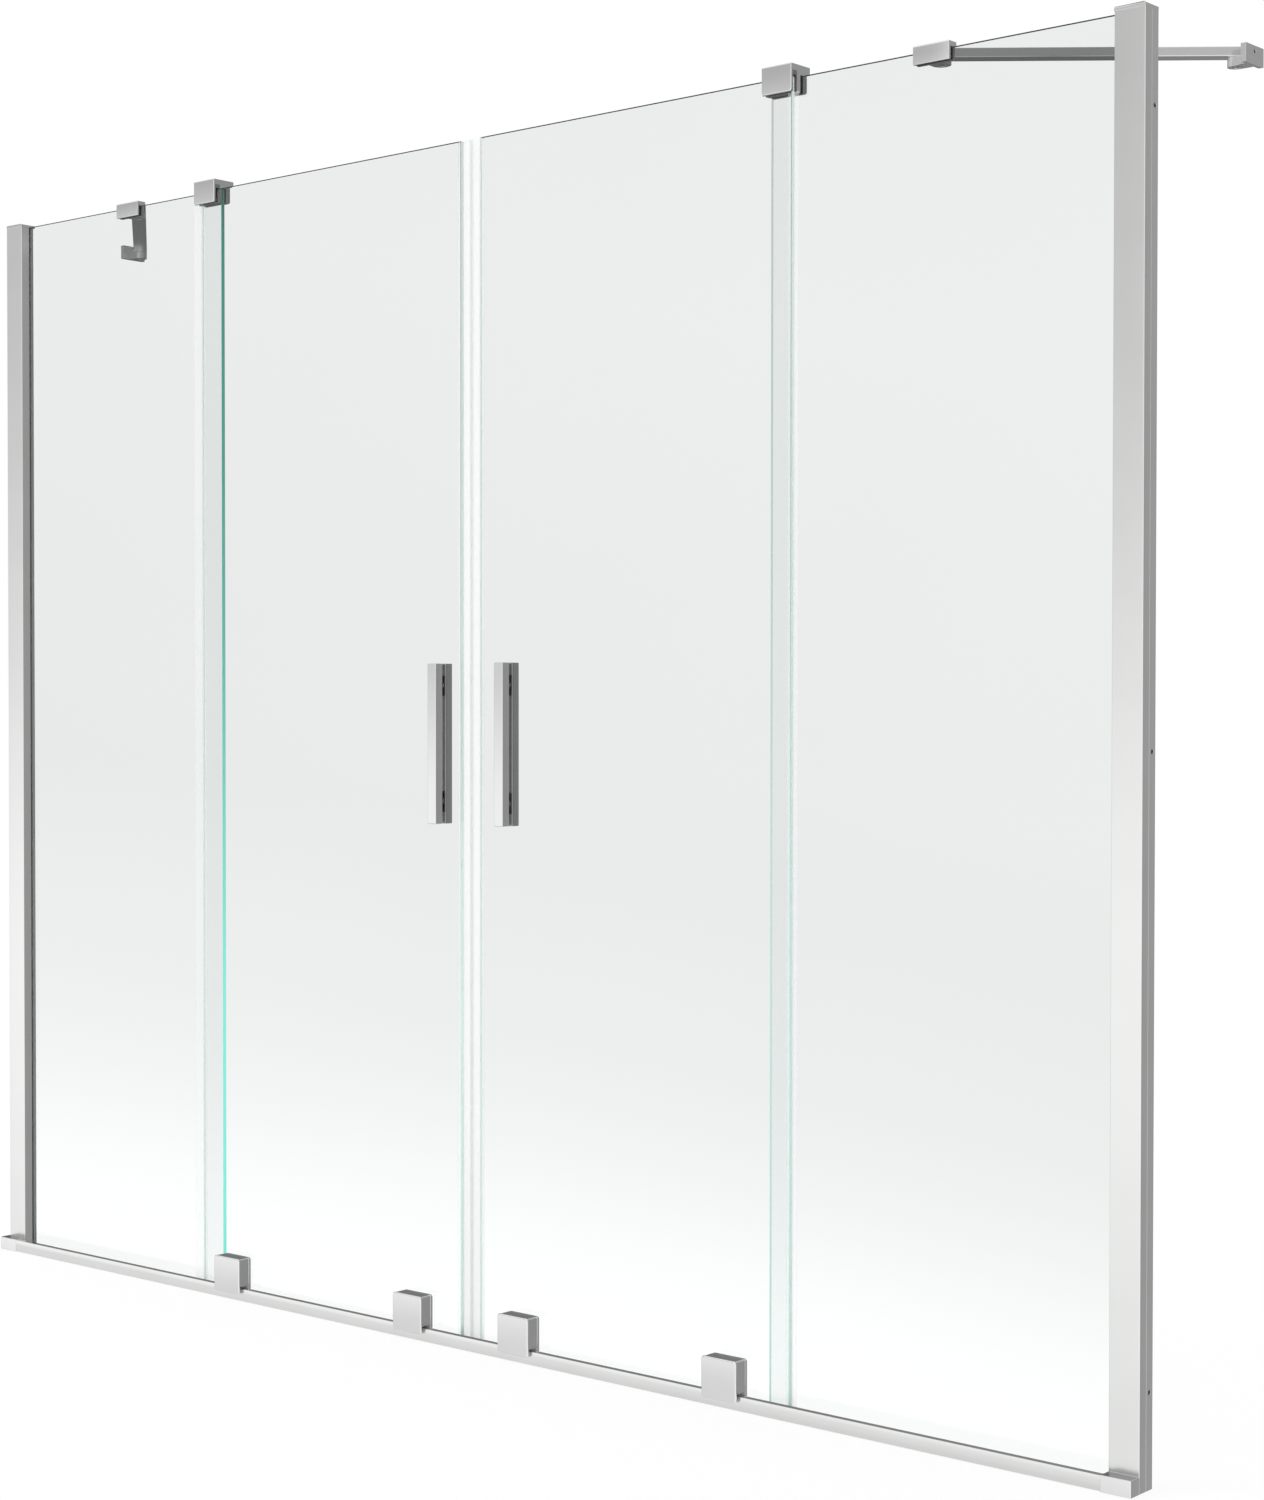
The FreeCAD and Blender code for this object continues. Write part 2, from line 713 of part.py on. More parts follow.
# Support bars: flat bars from the clamps to the side walls, cut off square to the
# glass at one end and square to the wall at the other.
for side, sign in SIDES.items():
    near_y = f"({CLAMP_BACK} + barEndRoom)"
    near_x = f"({CLAMP_PLACE} + ({near_y} - {BAR_NEAR_Y}) * {BAR_RUN_X} / {BAR_RUN_Y})"
    near_half = f"(barWidth / 2 * {BAR_RUN} / {BAR_RUN_Y})"
    far_x = f"({BRACKET_FACE} - barEndRoom)"
    far_y = f"(bracketPlace + ({far_x} - {BAR_FAR_X}) * {BAR_RUN_Y} / {BAR_RUN_X})"
    far_half = f"(barWidth / 2 * {BAR_RUN} / {BAR_RUN_X})"
    body = new_body(side + "_support_bar")
    bar = raised(body, "plan", BAR_BOTTOM, "screenHeight + barRise", [
        (f"{sign} * ({near_x} - {near_half})", near_y),
        (f"{sign} * ({near_x} + {near_half})", near_y),
        (f"{sign} * {far_x}", f"{far_y} - {far_half}"),
        (f"{sign} * {far_x}", f"{far_y} + {far_half}"),
    ])

    def lengthwise(along, middle):
        return not (is_along(along, X_AXIS) or is_along(along, Y_AXIS) or is_along(along, Z_AXIS))

    dress(body, "Chamfer", bar, lengthwise, "barEdge")
    ends = {"near": (f"{sign} * {CLAMP_PLACE}", BAR_NEAR_Y, BAR_BOTTOM),
            "far": (f"{sign} * {BAR_FAR_X}", "bracketPlace", BAR_BOTTOM)}
    for title, start in ends.items():
        hole(body, title, "z", start, "barScrewRadius + threadRoom", "barScrewBite + headRoom")

# Wall brackets: plates on the side walls, each with a screw hole and an ear that the
# bar's end lies on.
for side, sign in SIDES.items():
    body = new_body(side + "_wall_bracket")
    extrusion(body, "plate", f"{sign} * (screenWidth - bracketWall) / 2", "bracketWall",
              box_corners("bracketPlace - bracketLength / 2", "bracketPlace + bracketLength / 2",
                          EAR_BOTTOM, "screenHeight + barRise"))
    root_x = f"{sign} * ({BRACKET_FACE} + bracketWall / 2)"
    centre_x = f"{sign} * {BAR_FAR_X}"
    raised(body, "ear", EAR_BOTTOM, BAR_BOTTOM, [
        (root_x, "bracketPlace + earRadius"),
        (root_x, "bracketPlace - earRadius"),
        (centre_x, "bracketPlace - earRadius"),
        (centre_x, "bracketPlace + earRadius",
         (f"{sign} * ({BAR_FAR_X} - earRadius)", "bracketPlace")),
    ])
    hole(body, "screw_hole", "z", (centre_x, "bracketPlace", SCREW_SEAT),
         "barScrewRadius + threadRoom", "barScrewGrip")
    hole(body, "head_hole", "z", (centre_x, "bracketPlace", EAR_BOTTOM),
         "barScrewHead + headRoom", f"{SCREW_SEAT} - {EAR_BOTTOM}")
    wall_hole = (f"{sign} * (screenWidth - bracketWall) / 2 - bracketWall / 2", "bracketPlace",
                 "screenHeight + barRise - bracketHoleDrop")
    hole(body, "wall_hole", "x", wall_hole, "bracketHoleRadius", "bracketWall")

bar_screws = []
for side, sign in SIDES.items():
    ends = {"clamp": (f"{sign} * {CLAMP_PLACE}", BAR_NEAR_Y),
            "wall": (f"{sign} * {BAR_FAR_X}", "bracketPlace")}
    for title, (x, y) in ends.items():
        name = f"{side}_{title}_bar_screw"
        head_bottom = f"{SCREW_SEAT} - barScrewHeadHeight"
        head = cylinder(name + "_head", "z", (x, y, head_bottom), "barScrewHead",
                        "barScrewHeadHeight")
        shank = cylinder(name + "_shank", "z", (x, y, head_bottom), "barScrewRadius",
                         "barScrewHeadHeight + barScrewGrip + barScrewBite")
        bar_screws.append(fused(name, [head, shank]))
group("bar_screws", bar_screws)

# Door panes: toughened glass drilled for the handle and for the roller carriages.
for side, sign in SIDES.items():
    body = new_body(side + "_door_glass")
    pane = plate(body, "pane", 0, "glassThickness",
                 box_corners(door_inner(sign), door_outer(side, sign), "doorBottom", DOOR_TOP))
    dress(body, "Chamfer", pane, round_the_face, "glassArris")
    for title, step in (("low", -1), ("high", 1)):
        start = (handle_place(side, sign), 0, f"handleMiddle + {step} * handleBoltPitch / 2")
        hole(body, "handle_" + title, "y", start, "glassHoleRadius", "glassThickness")
    for roller, roller_x in roller_places(side, sign).items():
        for title, step in (("left", -1), ("right", 1)):
            start = (f"{roller_x} + {step} * baseBoltPitch / 2", 0, "baseBoltHeight")
            hole(body, f"{roller}_{title}", "y", start, "glassHoleRadius", "glassThickness")

# Magnet seals: clear closing profiles pushed on the doors' meeting edges, with a
# closed chamber for the magnet.
for side, sign in SIDES.items():
    glass_x = door_inner(sign)
    lap_x = f"{glass_x} + {sign} * sealLap"
    meet_x = f"{glass_x} - {sign} * magnetReach"
    body = new_body(side + "_magnet_seal")
    raised(
        body, "section", "doorBottom", DOOR_TOP + " - magnetSealDrop",
        [
            (lap_x, "-sealWall"),
            (meet_x, "-sealWall"),
            (meet_x, "glassThickness + sealWall"),
            (lap_x, "glassThickness + sealWall"),
            (lap_x, "glassThickness"),
            (glass_x, "glassThickness"),
            (glass_x, 0),
            (lap_x, 0),
        ],
        box_corners(f"{glass_x} - {sign} * chamberWall", f"{meet_x} + {sign} * chamberWall",
                    "chamberWall - sealWall", "glassThickness + sealWall - chamberWall"))

# Edge seals: clear profiles on the doors' outer edges, with a fin that carries on
# past the glass.
for side, sign in SIDES.items():
    glass_x = door_outer(side, sign)
    lap_x = f"{glass_x} - {sign} * sealLap"
    web_x = f"{glass_x} + {sign} * sealWall"
    tip_x = f"{glass_x} + {sign} * finReach"
    body = new_body(side + "_edge_seal")
    raised(body, "section", "edgeSealBottom", "screenHeight - edgeSealTopDrop", [
        (lap_x, "-sealWall"),
        (glass_x, "-sealWall"),
        (tip_x, "-finLean"),
        (tip_x, "finWall - finLean"),
        (web_x, "finWall - sealWall"),
        (web_x, "glassThickness + sealWall"),
        (lap_x, "glassThickness + sealWall"),
        (lap_x, "glassThickness"),
        (glass_x, "glassThickness"),
        (glass_x, 0),
        (lap_x, 0),
    ])

# Handles: a solid bar on each face of the door, on black pads, bolted together
# through the glass from the back.
for side, sign in SIDES.items():
    handle_x = handle_place(side, sign)
    bolt_heights = {"low": "-handleBoltPitch / 2", "high": "handleBoltPitch / 2"}
    front_bar = new_body(side + "_handle_front")
    blank = raised(front_bar, "bar", "-handleLength / 2", "handleLength / 2",
                   box_corners("-handleWidth / 2", "handleWidth / 2",
                               "-padThickness - handleDepth", "-padThickness"))
    dress(front_bar, "Fillet", blank, every_edge, "handleEdge")
    back_bar = new_body(side + "_handle_back")
    blank = raised(back_bar, "bar", "-handleLength / 2", "handleLength / 2",
                   box_corners("-handleWidth / 2", "handleWidth / 2",
                               "glassThickness + padThickness",
                               "glassThickness + padThickness + handleDepth"))
    dress(back_bar, "Fillet", blank, every_edge, "handleEdge")
    for title, height in bolt_heights.items():
        hole(front_bar, title, "y", (0, "-padThickness - handleBoltBite - headRoom", height),
             "handleBoltRadius + threadRoom", "handleBoltBite + headRoom")
        hole(back_bar, title, "y", (0, "glassThickness + padThickness", height),
             "handleBoltRadius + threadRoom", "handleDepth")
        hole(back_bar, title + "_head", "y", (0, HANDLE_SEAT, height),
             "handleBoltHead + headRoom", "handleHeadDepth + headRoom")
    place(front_bar, handle_x, 0, "handleMiddle")
    place(back_bar, handle_x, 0, "handleMiddle")

    pads = []
    bolts = []
    for title, height in bolt_heights.items():
        bolt_z = f"handleMiddle + {height}"
        for face, pad_y in (("front", "-padThickness"), ("back", "glassThickness")):
            name = f"{side}_{face}_{title}_pad"
            sheet_piece = doc.addObject("Part::Box", name + "_sheet")
            bind(sheet_piece, "Length", "handleWidth - 2 * padInset")
            bind(sheet_piece, "Width", "padThickness")
            bind(sheet_piece, "Height", "padHeight")
            place(sheet_piece, f"{handle_x} - handleWidth / 2 + padInset", pad_y,
                  f"{bolt_z} - padHeight / 2")
            pierced = doc.addObject("Part::Cut", name)
            pierced.Base = sheet_piece
            pierced.Tool = cylinder(name + "_hole", "y", (handle_x, pad_y, bolt_z),
                                    "handleBoltRadius + headRoom", "padThickness")
            pads.append(pierced)
        name = f"{side}_{title}_handle_bolt"
        head = cylinder(name + "_head", "y", (handle_x, HANDLE_SEAT, bolt_z),
                        "handleBoltHead", "handleHeadDepth")
        tip_y = "(-padThickness - handleBoltBite)"
        shank = cylinder(name + "_shank", "y", (handle_x, tip_y, bolt_z),
                         "handleBoltRadius", f"{HANDLE_SEAT} + handleHeadDepth - {tip_y}")
        bolts.append(fused(name, [head, shank]))
    group(side + "_handle_pads", pads)
    group(side + "_handle_bolts", bolts)

# Roller carriages: a base plate against the glass, an axle with a grooved wheel that
# straddles the track, and a cover over the wheel.
for side, sign in SIDES.items():
    axles = []
    base_bolts = []
    for roller, roller_x in roller_places(side, sign).items():
        name = f"{side}_{roller}"
        half = "(carriageWidth / 2 - carriageStep)"
        housing_top = "(carriageBottom + carriageHeight - carriageStep)"
        plate_back = "(carriagePlate - carriageFront)"

        cover = new_body(name + "_carriage_cover")
        face = plate(cover, "face", "-carriageFront", plate_back,
                     box_corners("-carriageWidth / 2", "carriageWidth / 2", "carriageBottom",
                                 "carriageBottom + carriageHeight"))

        dress(cover, "Fillet", face, through_thickness, "carriageCorner")
        bend = "(housingCorner * (1 - sqrt(0.5)))"
        inside = f"({half} - housingWall)"
        inside_top = f"({housing_top} - housingWall)"
        plate(cover, "housing", plate_back, "-baseThickness", [
            (f"-{half}", "housingBottom"),
            (f"-{half}", f"{housing_top} - housingCorner"),
            (f"-{half} + housingCorner", housing_top,
             (f"-{half} + {bend}", f"{housing_top} - {bend}")),
            (f"{half} - housingCorner", housing_top),
            (half, f"{housing_top} - housingCorner",
             (f"{half} - {bend}", f"{housing_top} - {bend}")),
            (half, "housingBottom"),
            (inside, "housingBottom"),
            (inside, inside_top),
            (f"-{inside}", inside_top),
            (f"-{inside}", "housingBottom"),
        ])
        place(cover, roller_x)

        base = new_body(name + "_carriage_base")
        slab = plate(base, "slab", "-baseThickness", 0,
                     box_corners(f"-{half}", half, "baseBottom", housing_top))
        dress(base, "Fillet", slab, through_thickness, "housingCorner")
        for title, step in (("left", -1), ("right", 1)):
            start = (f"{step} * baseBoltPitch / 2", "-baseThickness", "baseBoltHeight")
            hole(base, title, "y", start, "baseBoltRadius + threadRoom", "baseThickness")
        hole(base, "axle_hole", "y", (0, "-baseThickness", AXLE_HEIGHT),
             "journalRadius + threadRoom", "baseThickness")
        place(base, roller_x)

        wheel = new_body(name + "_wheel")
        boss(wheel, "tread", "y", (0, WHEEL_FRONT, 0), "wheelTread",
             f"{WHEEL_BACK} - {WHEEL_FRONT}")
        boss(wheel, "front_flange", "y", (0, WHEEL_FRONT, 0), "wheelFlange", "wheelCheek")
        boss(wheel, "back_flange", "y", (0, f"{WHEEL_BACK} - wheelCheek", 0), "wheelFlange",
             "wheelCheek")
        hole(wheel, "bore", "y", (0, WHEEL_FRONT, 0), "journalRadius + journalRoom",
             f"{WHEEL_BACK} - {WHEEL_FRONT}")
        place(wheel, roller_x, 0, AXLE_HEIGHT)

        shoulder_front = f"({WHEEL_BACK} + axleEndRoom)"
        head_back = f"({WHEEL_FRONT} - axleEndRoom)"
        shoulder = cylinder(name + "_axle_shoulder", "y", (roller_x, shoulder_front, AXLE_HEIGHT),
                            "axleShoulder", f"-baseThickness - {shoulder_front}")
        head = cylinder(name + "_axle_head", "y",
                        (roller_x, f"{head_back} - axleHeadHeight", AXLE_HEIGHT),
                        "axleShoulder", "axleHeadHeight")
        journal = cylinder(name + "_axle_journal", "y", (roller_x, head_back, AXLE_HEIGHT),
                           "journalRadius", f"-axleEndRoom - {head_back}")
        axles.append(fused(name + "_axle", [journal, shoulder, head]))

        for title, step in (("left", -1), ("right", 1)):
            bolt = f"{name}_{title}_base_bolt"
            bolt_x = f"{roller_x} + {step} * baseBoltPitch / 2"
            button = cylinder(bolt + "_head", "y", (bolt_x, "glassThickness", "baseBoltHeight"),
                              "baseBoltHead", "baseBoltHeadHeight")
            shank = cylinder(bolt + "_shank", "y",
                             (bolt_x, "headRoom - baseThickness", "baseBoltHeight"),
                             "baseBoltRadius", "baseThickness - headRoom + glassThickness")
            base_bolts.append(fused(bolt, [button, shank]))
    group(side + "_axles", axles)
    group(side + "_carriage_bolts", base_bolts)

doc.recompute()
for item in doc.Objects:
    if "Invalid" in item.State or "Error" in item.State:
        raise RuntimeError("not built: " + item.Label)
for part in sub_parts:
    if part.Shape.isNull() or not part.Shape.isValid():
        raise RuntimeError("no sound shape: " + part.Label)
    part.Shape.exportStep("parts/" + part.Label + ".step")
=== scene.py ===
import json
import math

import bmesh
import bpy
from mathutils import Matrix, Vector

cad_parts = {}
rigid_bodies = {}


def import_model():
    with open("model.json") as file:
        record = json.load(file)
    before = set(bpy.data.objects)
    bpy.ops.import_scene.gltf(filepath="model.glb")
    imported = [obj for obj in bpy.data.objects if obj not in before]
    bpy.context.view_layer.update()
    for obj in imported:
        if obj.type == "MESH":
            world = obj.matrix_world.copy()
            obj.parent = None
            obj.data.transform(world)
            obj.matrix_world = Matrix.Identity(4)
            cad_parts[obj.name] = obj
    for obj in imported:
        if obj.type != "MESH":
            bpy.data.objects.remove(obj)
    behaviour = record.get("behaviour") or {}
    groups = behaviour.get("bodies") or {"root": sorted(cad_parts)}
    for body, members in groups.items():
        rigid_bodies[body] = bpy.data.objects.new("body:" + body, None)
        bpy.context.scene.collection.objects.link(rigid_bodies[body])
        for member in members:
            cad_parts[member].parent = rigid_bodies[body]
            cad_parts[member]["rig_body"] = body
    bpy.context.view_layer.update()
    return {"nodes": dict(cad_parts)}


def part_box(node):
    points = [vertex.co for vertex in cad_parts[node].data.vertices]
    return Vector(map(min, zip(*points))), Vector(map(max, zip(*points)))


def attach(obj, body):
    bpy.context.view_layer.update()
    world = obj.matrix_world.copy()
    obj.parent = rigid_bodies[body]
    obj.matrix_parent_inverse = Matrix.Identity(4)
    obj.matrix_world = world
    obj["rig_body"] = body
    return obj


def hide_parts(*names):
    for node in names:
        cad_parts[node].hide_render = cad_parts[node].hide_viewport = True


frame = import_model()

# Bottom rail: one length of aluminium pushed through a die and satin anodised, bedded
# in sealant on the bath's rim. Fine die lines run along it and its corners are broken.
WELD = 2e-6
FLAT = math.radians(0.5)


def clean_copy(node):
    """A solid's surface as one closed mesh with its flat faces whole."""
    solid = bmesh.new()
    solid.from_mesh(frame["nodes"][node].data)
    bmesh.ops.remove_doubles(solid, verts=solid.verts, dist=WELD)
    bmesh.ops.dissolve_limit(solid, angle_limit=FLAT, verts=solid.verts, edges=solid.edges)
    return solid


CORNER = math.radians(32)


def piece_from(solid, name, sharp=CORNER):
    """An object whose faces shade smoothly up to the solid's real corners."""
    mesh = bpy.data.meshes.new(name)
    for face in solid.faces:
        face.smooth = True
    solid.to_mesh(mesh)
    solid.free()
    if "custom_normal" in mesh.attributes:
        mesh.attributes.remove(mesh.attributes["custom_normal"])
    mesh.set_sharp_from_angle(angle=sharp)
    piece = bpy.data.objects.new(name, mesh)
    bpy.context.scene.collection.objects.link(piece)
    return piece


def fit(piece, node):
    """Puts a finished piece in a node's place, on its body."""
    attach(piece, frame["nodes"][node]["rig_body"])
    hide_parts(node)


OUTLINE_MARGIN = 0.0045
SAME_PLACE = 1e-5


def dressed(node, material, edge, rim=0.0, steps=3, clamped=True):
    """A node's solid with its corners broken, and rounded more round its front face."""
    solid = clean_copy(node)
    low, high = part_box(node)
    widest = max(edge, rim)
    share = solid.edges.layers.float.new("bevel_weight_edge")
    for corner in solid.edges:
        if corner.is_convex and corner.calc_face_angle(0) > CORNER:
            middle = (corner.verts[0].co + corner.verts[1].co) / 2
            to_outline = min(middle.x - low.x, high.x - middle.x, middle.z - low.z,
                             high.z - middle.z)
            in_front = all(abs(end.co.y - low.y) < SAME_PLACE for end in corner.verts)
            on_rim = rim and in_front and to_outline < OUTLINE_MARGIN
            corner[share] = (rim if on_rim else edge) / widest
    piece = piece_from(solid, node + "_finished")
    piece.data.materials.append(material)
    rounding = piece.modifiers.new("broken corners", "BEVEL")
    rounding.width = widest
    rounding.segments = steps
    rounding.limit_method = "WEIGHT"
    rounding.harden_normals = True
    rounding.use_clamp_overlap = clamped
    fit(piece, node)
    return piece


def feed(tree, node, inputs):
    """Sets a node's inputs, or links sockets to them, by name or number."""
    for name, given in inputs.items():
        if isinstance(given, bpy.types.NodeSocket):
            tree.links.new(given, node.inputs[name])
        else:
            node.inputs[name].default_value = given


def add(tree, kind, inputs=None, **settings):
    """A new node with its settings and inputs."""
    made = tree.nodes.new(kind)
    for name, given in settings.items():
        setattr(made, name, given)
    feed(tree, made, inputs or {})
    return made


def reckon(tree, operation, *terms):
    """The result of a sum of sockets and numbers."""
    return add(tree, "ShaderNodeMath", dict(enumerate(terms)), operation=operation).outputs[0]


def noise(tree, vector, scale, detail=2.0):
    """Uneven values from 0 to 1, spread over a vector."""
    return add(tree, "ShaderNodeTexNoise",
               {"Vector": vector, "Scale": scale, "Detail": detail}).outputs["Fac"]


def ramp(tree, part, stops):
    """Colours at stops from 0 to 1, and the blends between them."""
    made = add(tree, "ShaderNodeValToRGB", {"Fac": part})
    elements = made.color_ramp.elements
    for element, (position, colour) in ((elements[0], stops[0]), (elements[1], stops[-1])):
        element.position = position
        element.color = (*colour, 1)
    for position, colour in stops[1:-1]:
        elements.new(position).color = (*colour, 1)
    return made.outputs["Color"]


def bump(tree, height, distance, strength, normal=None):
    """A normal bent by a height that is worth so many metres, on top of another's bend."""
    bent = add(tree, "ShaderNodeBump",
               {"Height": height, "Distance": distance, "Strength": strength})
    if normal is not None:
        feed(tree, bent, {"Normal": normal})
    return bent.outputs["Normal"]


def open_sockets(group, in_out, kinds):
    """Gives a node group its inputs or outputs, and returns what each is known by."""
    return {title: group.interface.new_socket(title, in_out=in_out,
                                              socket_type="NodeSocket" + kind).identifier
            for title, kind in kinds.items()}


# Grain of a satin metal: the lines or pits that blasting, brushing or the die leave,
# and the wider patches where hands and cloths have passed.
satin_grain = bpy.data.node_groups.new("satin grain", "ShaderNodeTree")
open_sockets(satin_grain, "INPUT", {"Grain Vector": "Vector", "Place": "Vector",
                                    "Roughness": "Float", "Spread": "Float"})
open_sockets(satin_grain, "OUTPUT", {"Roughness": "Float", "Height": "Float", "Patch": "Float"})
inlet = add(satin_grain, "NodeGroupInput").outputs
patches = noise(satin_grain, inlet["Place"], scale=14.0, detail=4.0)
wiped = reckon(satin_grain, "SUBTRACT", patches, 0.5)
lines = reckon(satin_grain, "SUBTRACT",
               noise(satin_grain, inlet["Grain Vector"], scale=1.0, detail=3.0), 0.5)
rough = reckon(satin_grain, "MULTIPLY_ADD", reckon(satin_grain, "ADD", lines, wiped),
               inlet["Spread"], inlet["Roughness"])
add(satin_grain, "NodeGroupOutput", {"Roughness": rough, "Height": lines, "Patch": patches})


def new_material(name):
    """A material with its tree and its shader."""
    material = bpy.data.materials.new(name)
    material.use_nodes = True
    tree = material.node_tree
    return material, tree, tree.nodes["Principled BSDF"]


def place_on(tree):
    """The place on the piece that a material's tree colours, in metres."""
    return add(tree, "ShaderNodeTexCoord").outputs["Object"]


def satin_metal(name, light, dark, roughness, grain, relief, crown=None):
    """Metal whose grain is drawn out by the three lengths per metre in grain. A crown is a
    middle and a curve along each axis: its faces bulge a little, as polished ones do."""
    material, tree, shader = new_material(name)
    place = place_on(tree)
    drawn = add(tree, "ShaderNodeMapping", {"Vector": place, "Scale": grain}).outputs[0]
    finish = add(tree, "ShaderNodeGroup",
                 {"Grain Vector": drawn, "Place": place, "Roughness": roughness, "Spread": 0.03},
                 node_tree=satin_grain).outputs
    normal = bump(tree, finish["Height"], distance=relief, strength=0.35)
    if crown:
        middle, curve = crown
        away = add(tree, "ShaderNodeVectorMath", {0: place, 1: middle},
                   operation="SUBTRACT").outputs[0]
        squared = add(tree, "ShaderNodeVectorMath", {0: away, 1: away},
                      operation="MULTIPLY").outputs[0]
        bulge = add(tree, "ShaderNodeVectorMath", {0: squared, 1: [-bend for bend in curve]},
                    operation="DOT_PRODUCT").outputs["Value"]
        normal = bump(tree, bulge, distance=1.0, strength=1.0, normal=normal)
    feed(tree, shader, {"Base Color": ramp(tree, finish["Patch"], [(0.3, dark), (0.7, light)]),
                        "Metallic": 1.0, "Roughness": finish["Roughness"], "Normal": normal})
    return material


LIGHT_ALUMINIUM = (0.85, 0.85, 0.845)
DARK_ALUMINIUM = (0.825, 0.825, 0.82)
rail_aluminium = satin_metal("rail aluminium", LIGHT_ALUMINIUM, DARK_ALUMINIUM, roughness=0.25,
                             grain=(3, 1400, 1400), relief=0.000005)
dressed("bottom_rail", rail_aluminium, edge=0.0005)

# Rail end caps: die-cast blocks, satin plated, pushed into the rail's hollow in front of
# the cover profiles. Their tops are given a darker grey metal, a painted shade.
SIDES = {"left": -1, "right": 1}
FACING = 0.9


def grey(tone):
    """A grey as the three parts of a colour."""
    return (tone, tone, tone)


cap_metal = satin_metal("cap metal", grey(0.85), grey(0.825), roughness=0.25,
                        grain=(1800, 1800, 1800), relief=0.0000015)
# Painted shade: a darker copy of the cap metal, laid on the caps' tops.
cap_top_painted_shade = satin_metal("cap top painted shade", grey(0.43), grey(0.41), roughness=0.25,
                         grain=(1800, 1800, 1800), relief=0.0000015)
for side in SIDES:
    cap = dressed(side + "_rail_end_cap", cap_metal, edge=0.0003)
    cap.data.materials.append(cap_top_painted_shade)
    # Faces that look up take the darker metal: painted shade.
    for face in cap.data.polygons:
        face.material_index = int(face.normal.z > FACING)

# Wall profiles and cover profiles: upright aluminium extrusions, satin anodised. The
# channel is screwed to the wall and the hollow cover stands in front of it.
profile_aluminium = satin_metal("profile aluminium", LIGHT_ALUMINIUM, DARK_ALUMINIUM,
                                roughness=0.25, grain=(1400, 1400, 3), relief=0.000005)
for side in SIDES:
    dressed(side + "_wall_profile", profile_aluminium, edge=0.0003, rim=0.0009, steps=2,
            clamped=False)
    dressed(side + "_cover_profile", profile_aluminium, edge=0.0004, steps=2, clamped=False)

# Profile caps: moulded covers, plated to match the end caps and pressed on top of both
# profiles to close their hollows.
for side in SIDES:
    dressed(side + "_profile_cap", cap_metal, edge=0.0003, rim=0.0006)

# Fixed panes: 6 mm float glass, its edges ground and chamfered before toughening. It is
# clear face on, and the iron in it shows green along the edges.


def mixed_shader(tree, share, first, second):
    """Two shaders mixed by a share that runs from 0 to 1."""
    return add(tree, "ShaderNodeMixShader", {0: share, 1: first, 2: second}).outputs["Shader"]


WAVE_SHADE = 0.99


def clear_glass(name, tint, ripple, ripple_scale):
    """Glass that lets lamplight pass, with the faint wave that toughening leaves."""
    material, tree, shader = new_material(name)
    place = place_on(tree)
    wave = noise(tree, place, ripple_scale, detail=1.0)
    deeper = [WAVE_SHADE * part for part in tint]
    feed(tree, shader, {"Base Color": ramp(tree, wave, [(0.0, deeper), (1.0, tint)]),
                        "Normal": bump(tree, wave, distance=ripple, strength=1.0),
                        "Roughness": 0.0, "IOR": 1.5, "Transmission Weight": 1.0})
    in_shadow = add(tree, "ShaderNodeLightPath").outputs["Is Shadow Ray"]
    passing = add(tree, "ShaderNodeBsdfTransparent").outputs["BSDF"]
    surface = mixed_shader(tree, in_shadow, shader.outputs["BSDF"], passing)
    feed(tree, tree.nodes["Material Output"], {"Surface": surface})
    return material


def scaled(tree, share, low, high):
    """A share from 0 to 1 brought between two values."""
    return add(tree, "ShaderNodeMapRange",
               {"Value": share, "To Min": low, "To Max": high}).outputs["Result"]


SHADE_RAMP_HEIGHT = 1.55
GRINDING_REACH = 0.06


def edge_material(name, stops, roughness, from_inside, glow=0.0):
    """Glass edge whose green is painted darker with height, a painted shade, uneven from the
    wheel, and as solid as from_inside says where it is seen through the pane. The glow is
    painted light: the edge gives off light of its own."""
    material, tree, shader = new_material(name)
    place = place_on(tree)
    height = add(tree, "ShaderNodeSeparateXYZ", {"Vector": place}).outputs["Z"]
    grinding = noise(tree, place, scale=60.0)
    uneven = reckon(tree, "MULTIPLY_ADD", grinding, GRINDING_REACH, height)
    green = ramp(tree, reckon(tree, "DIVIDE", uneven, SHADE_RAMP_HEIGHT), stops)
    feed(tree, shader, {"Base Color": green, "Roughness": roughness,
                        "Normal": bump(tree, grinding, distance=0.00002, strength=0.4)})
    if glow:
        feed(tree, shader, {"Emission Color": green, "Emission Strength": glow})
    if from_inside < 1:
        inside = add(tree, "ShaderNodeNewGeometry").outputs["Backfacing"]
        feed(tree, shader, {"Alpha": scaled(tree, inside, 1.0, from_inside)})
    return material
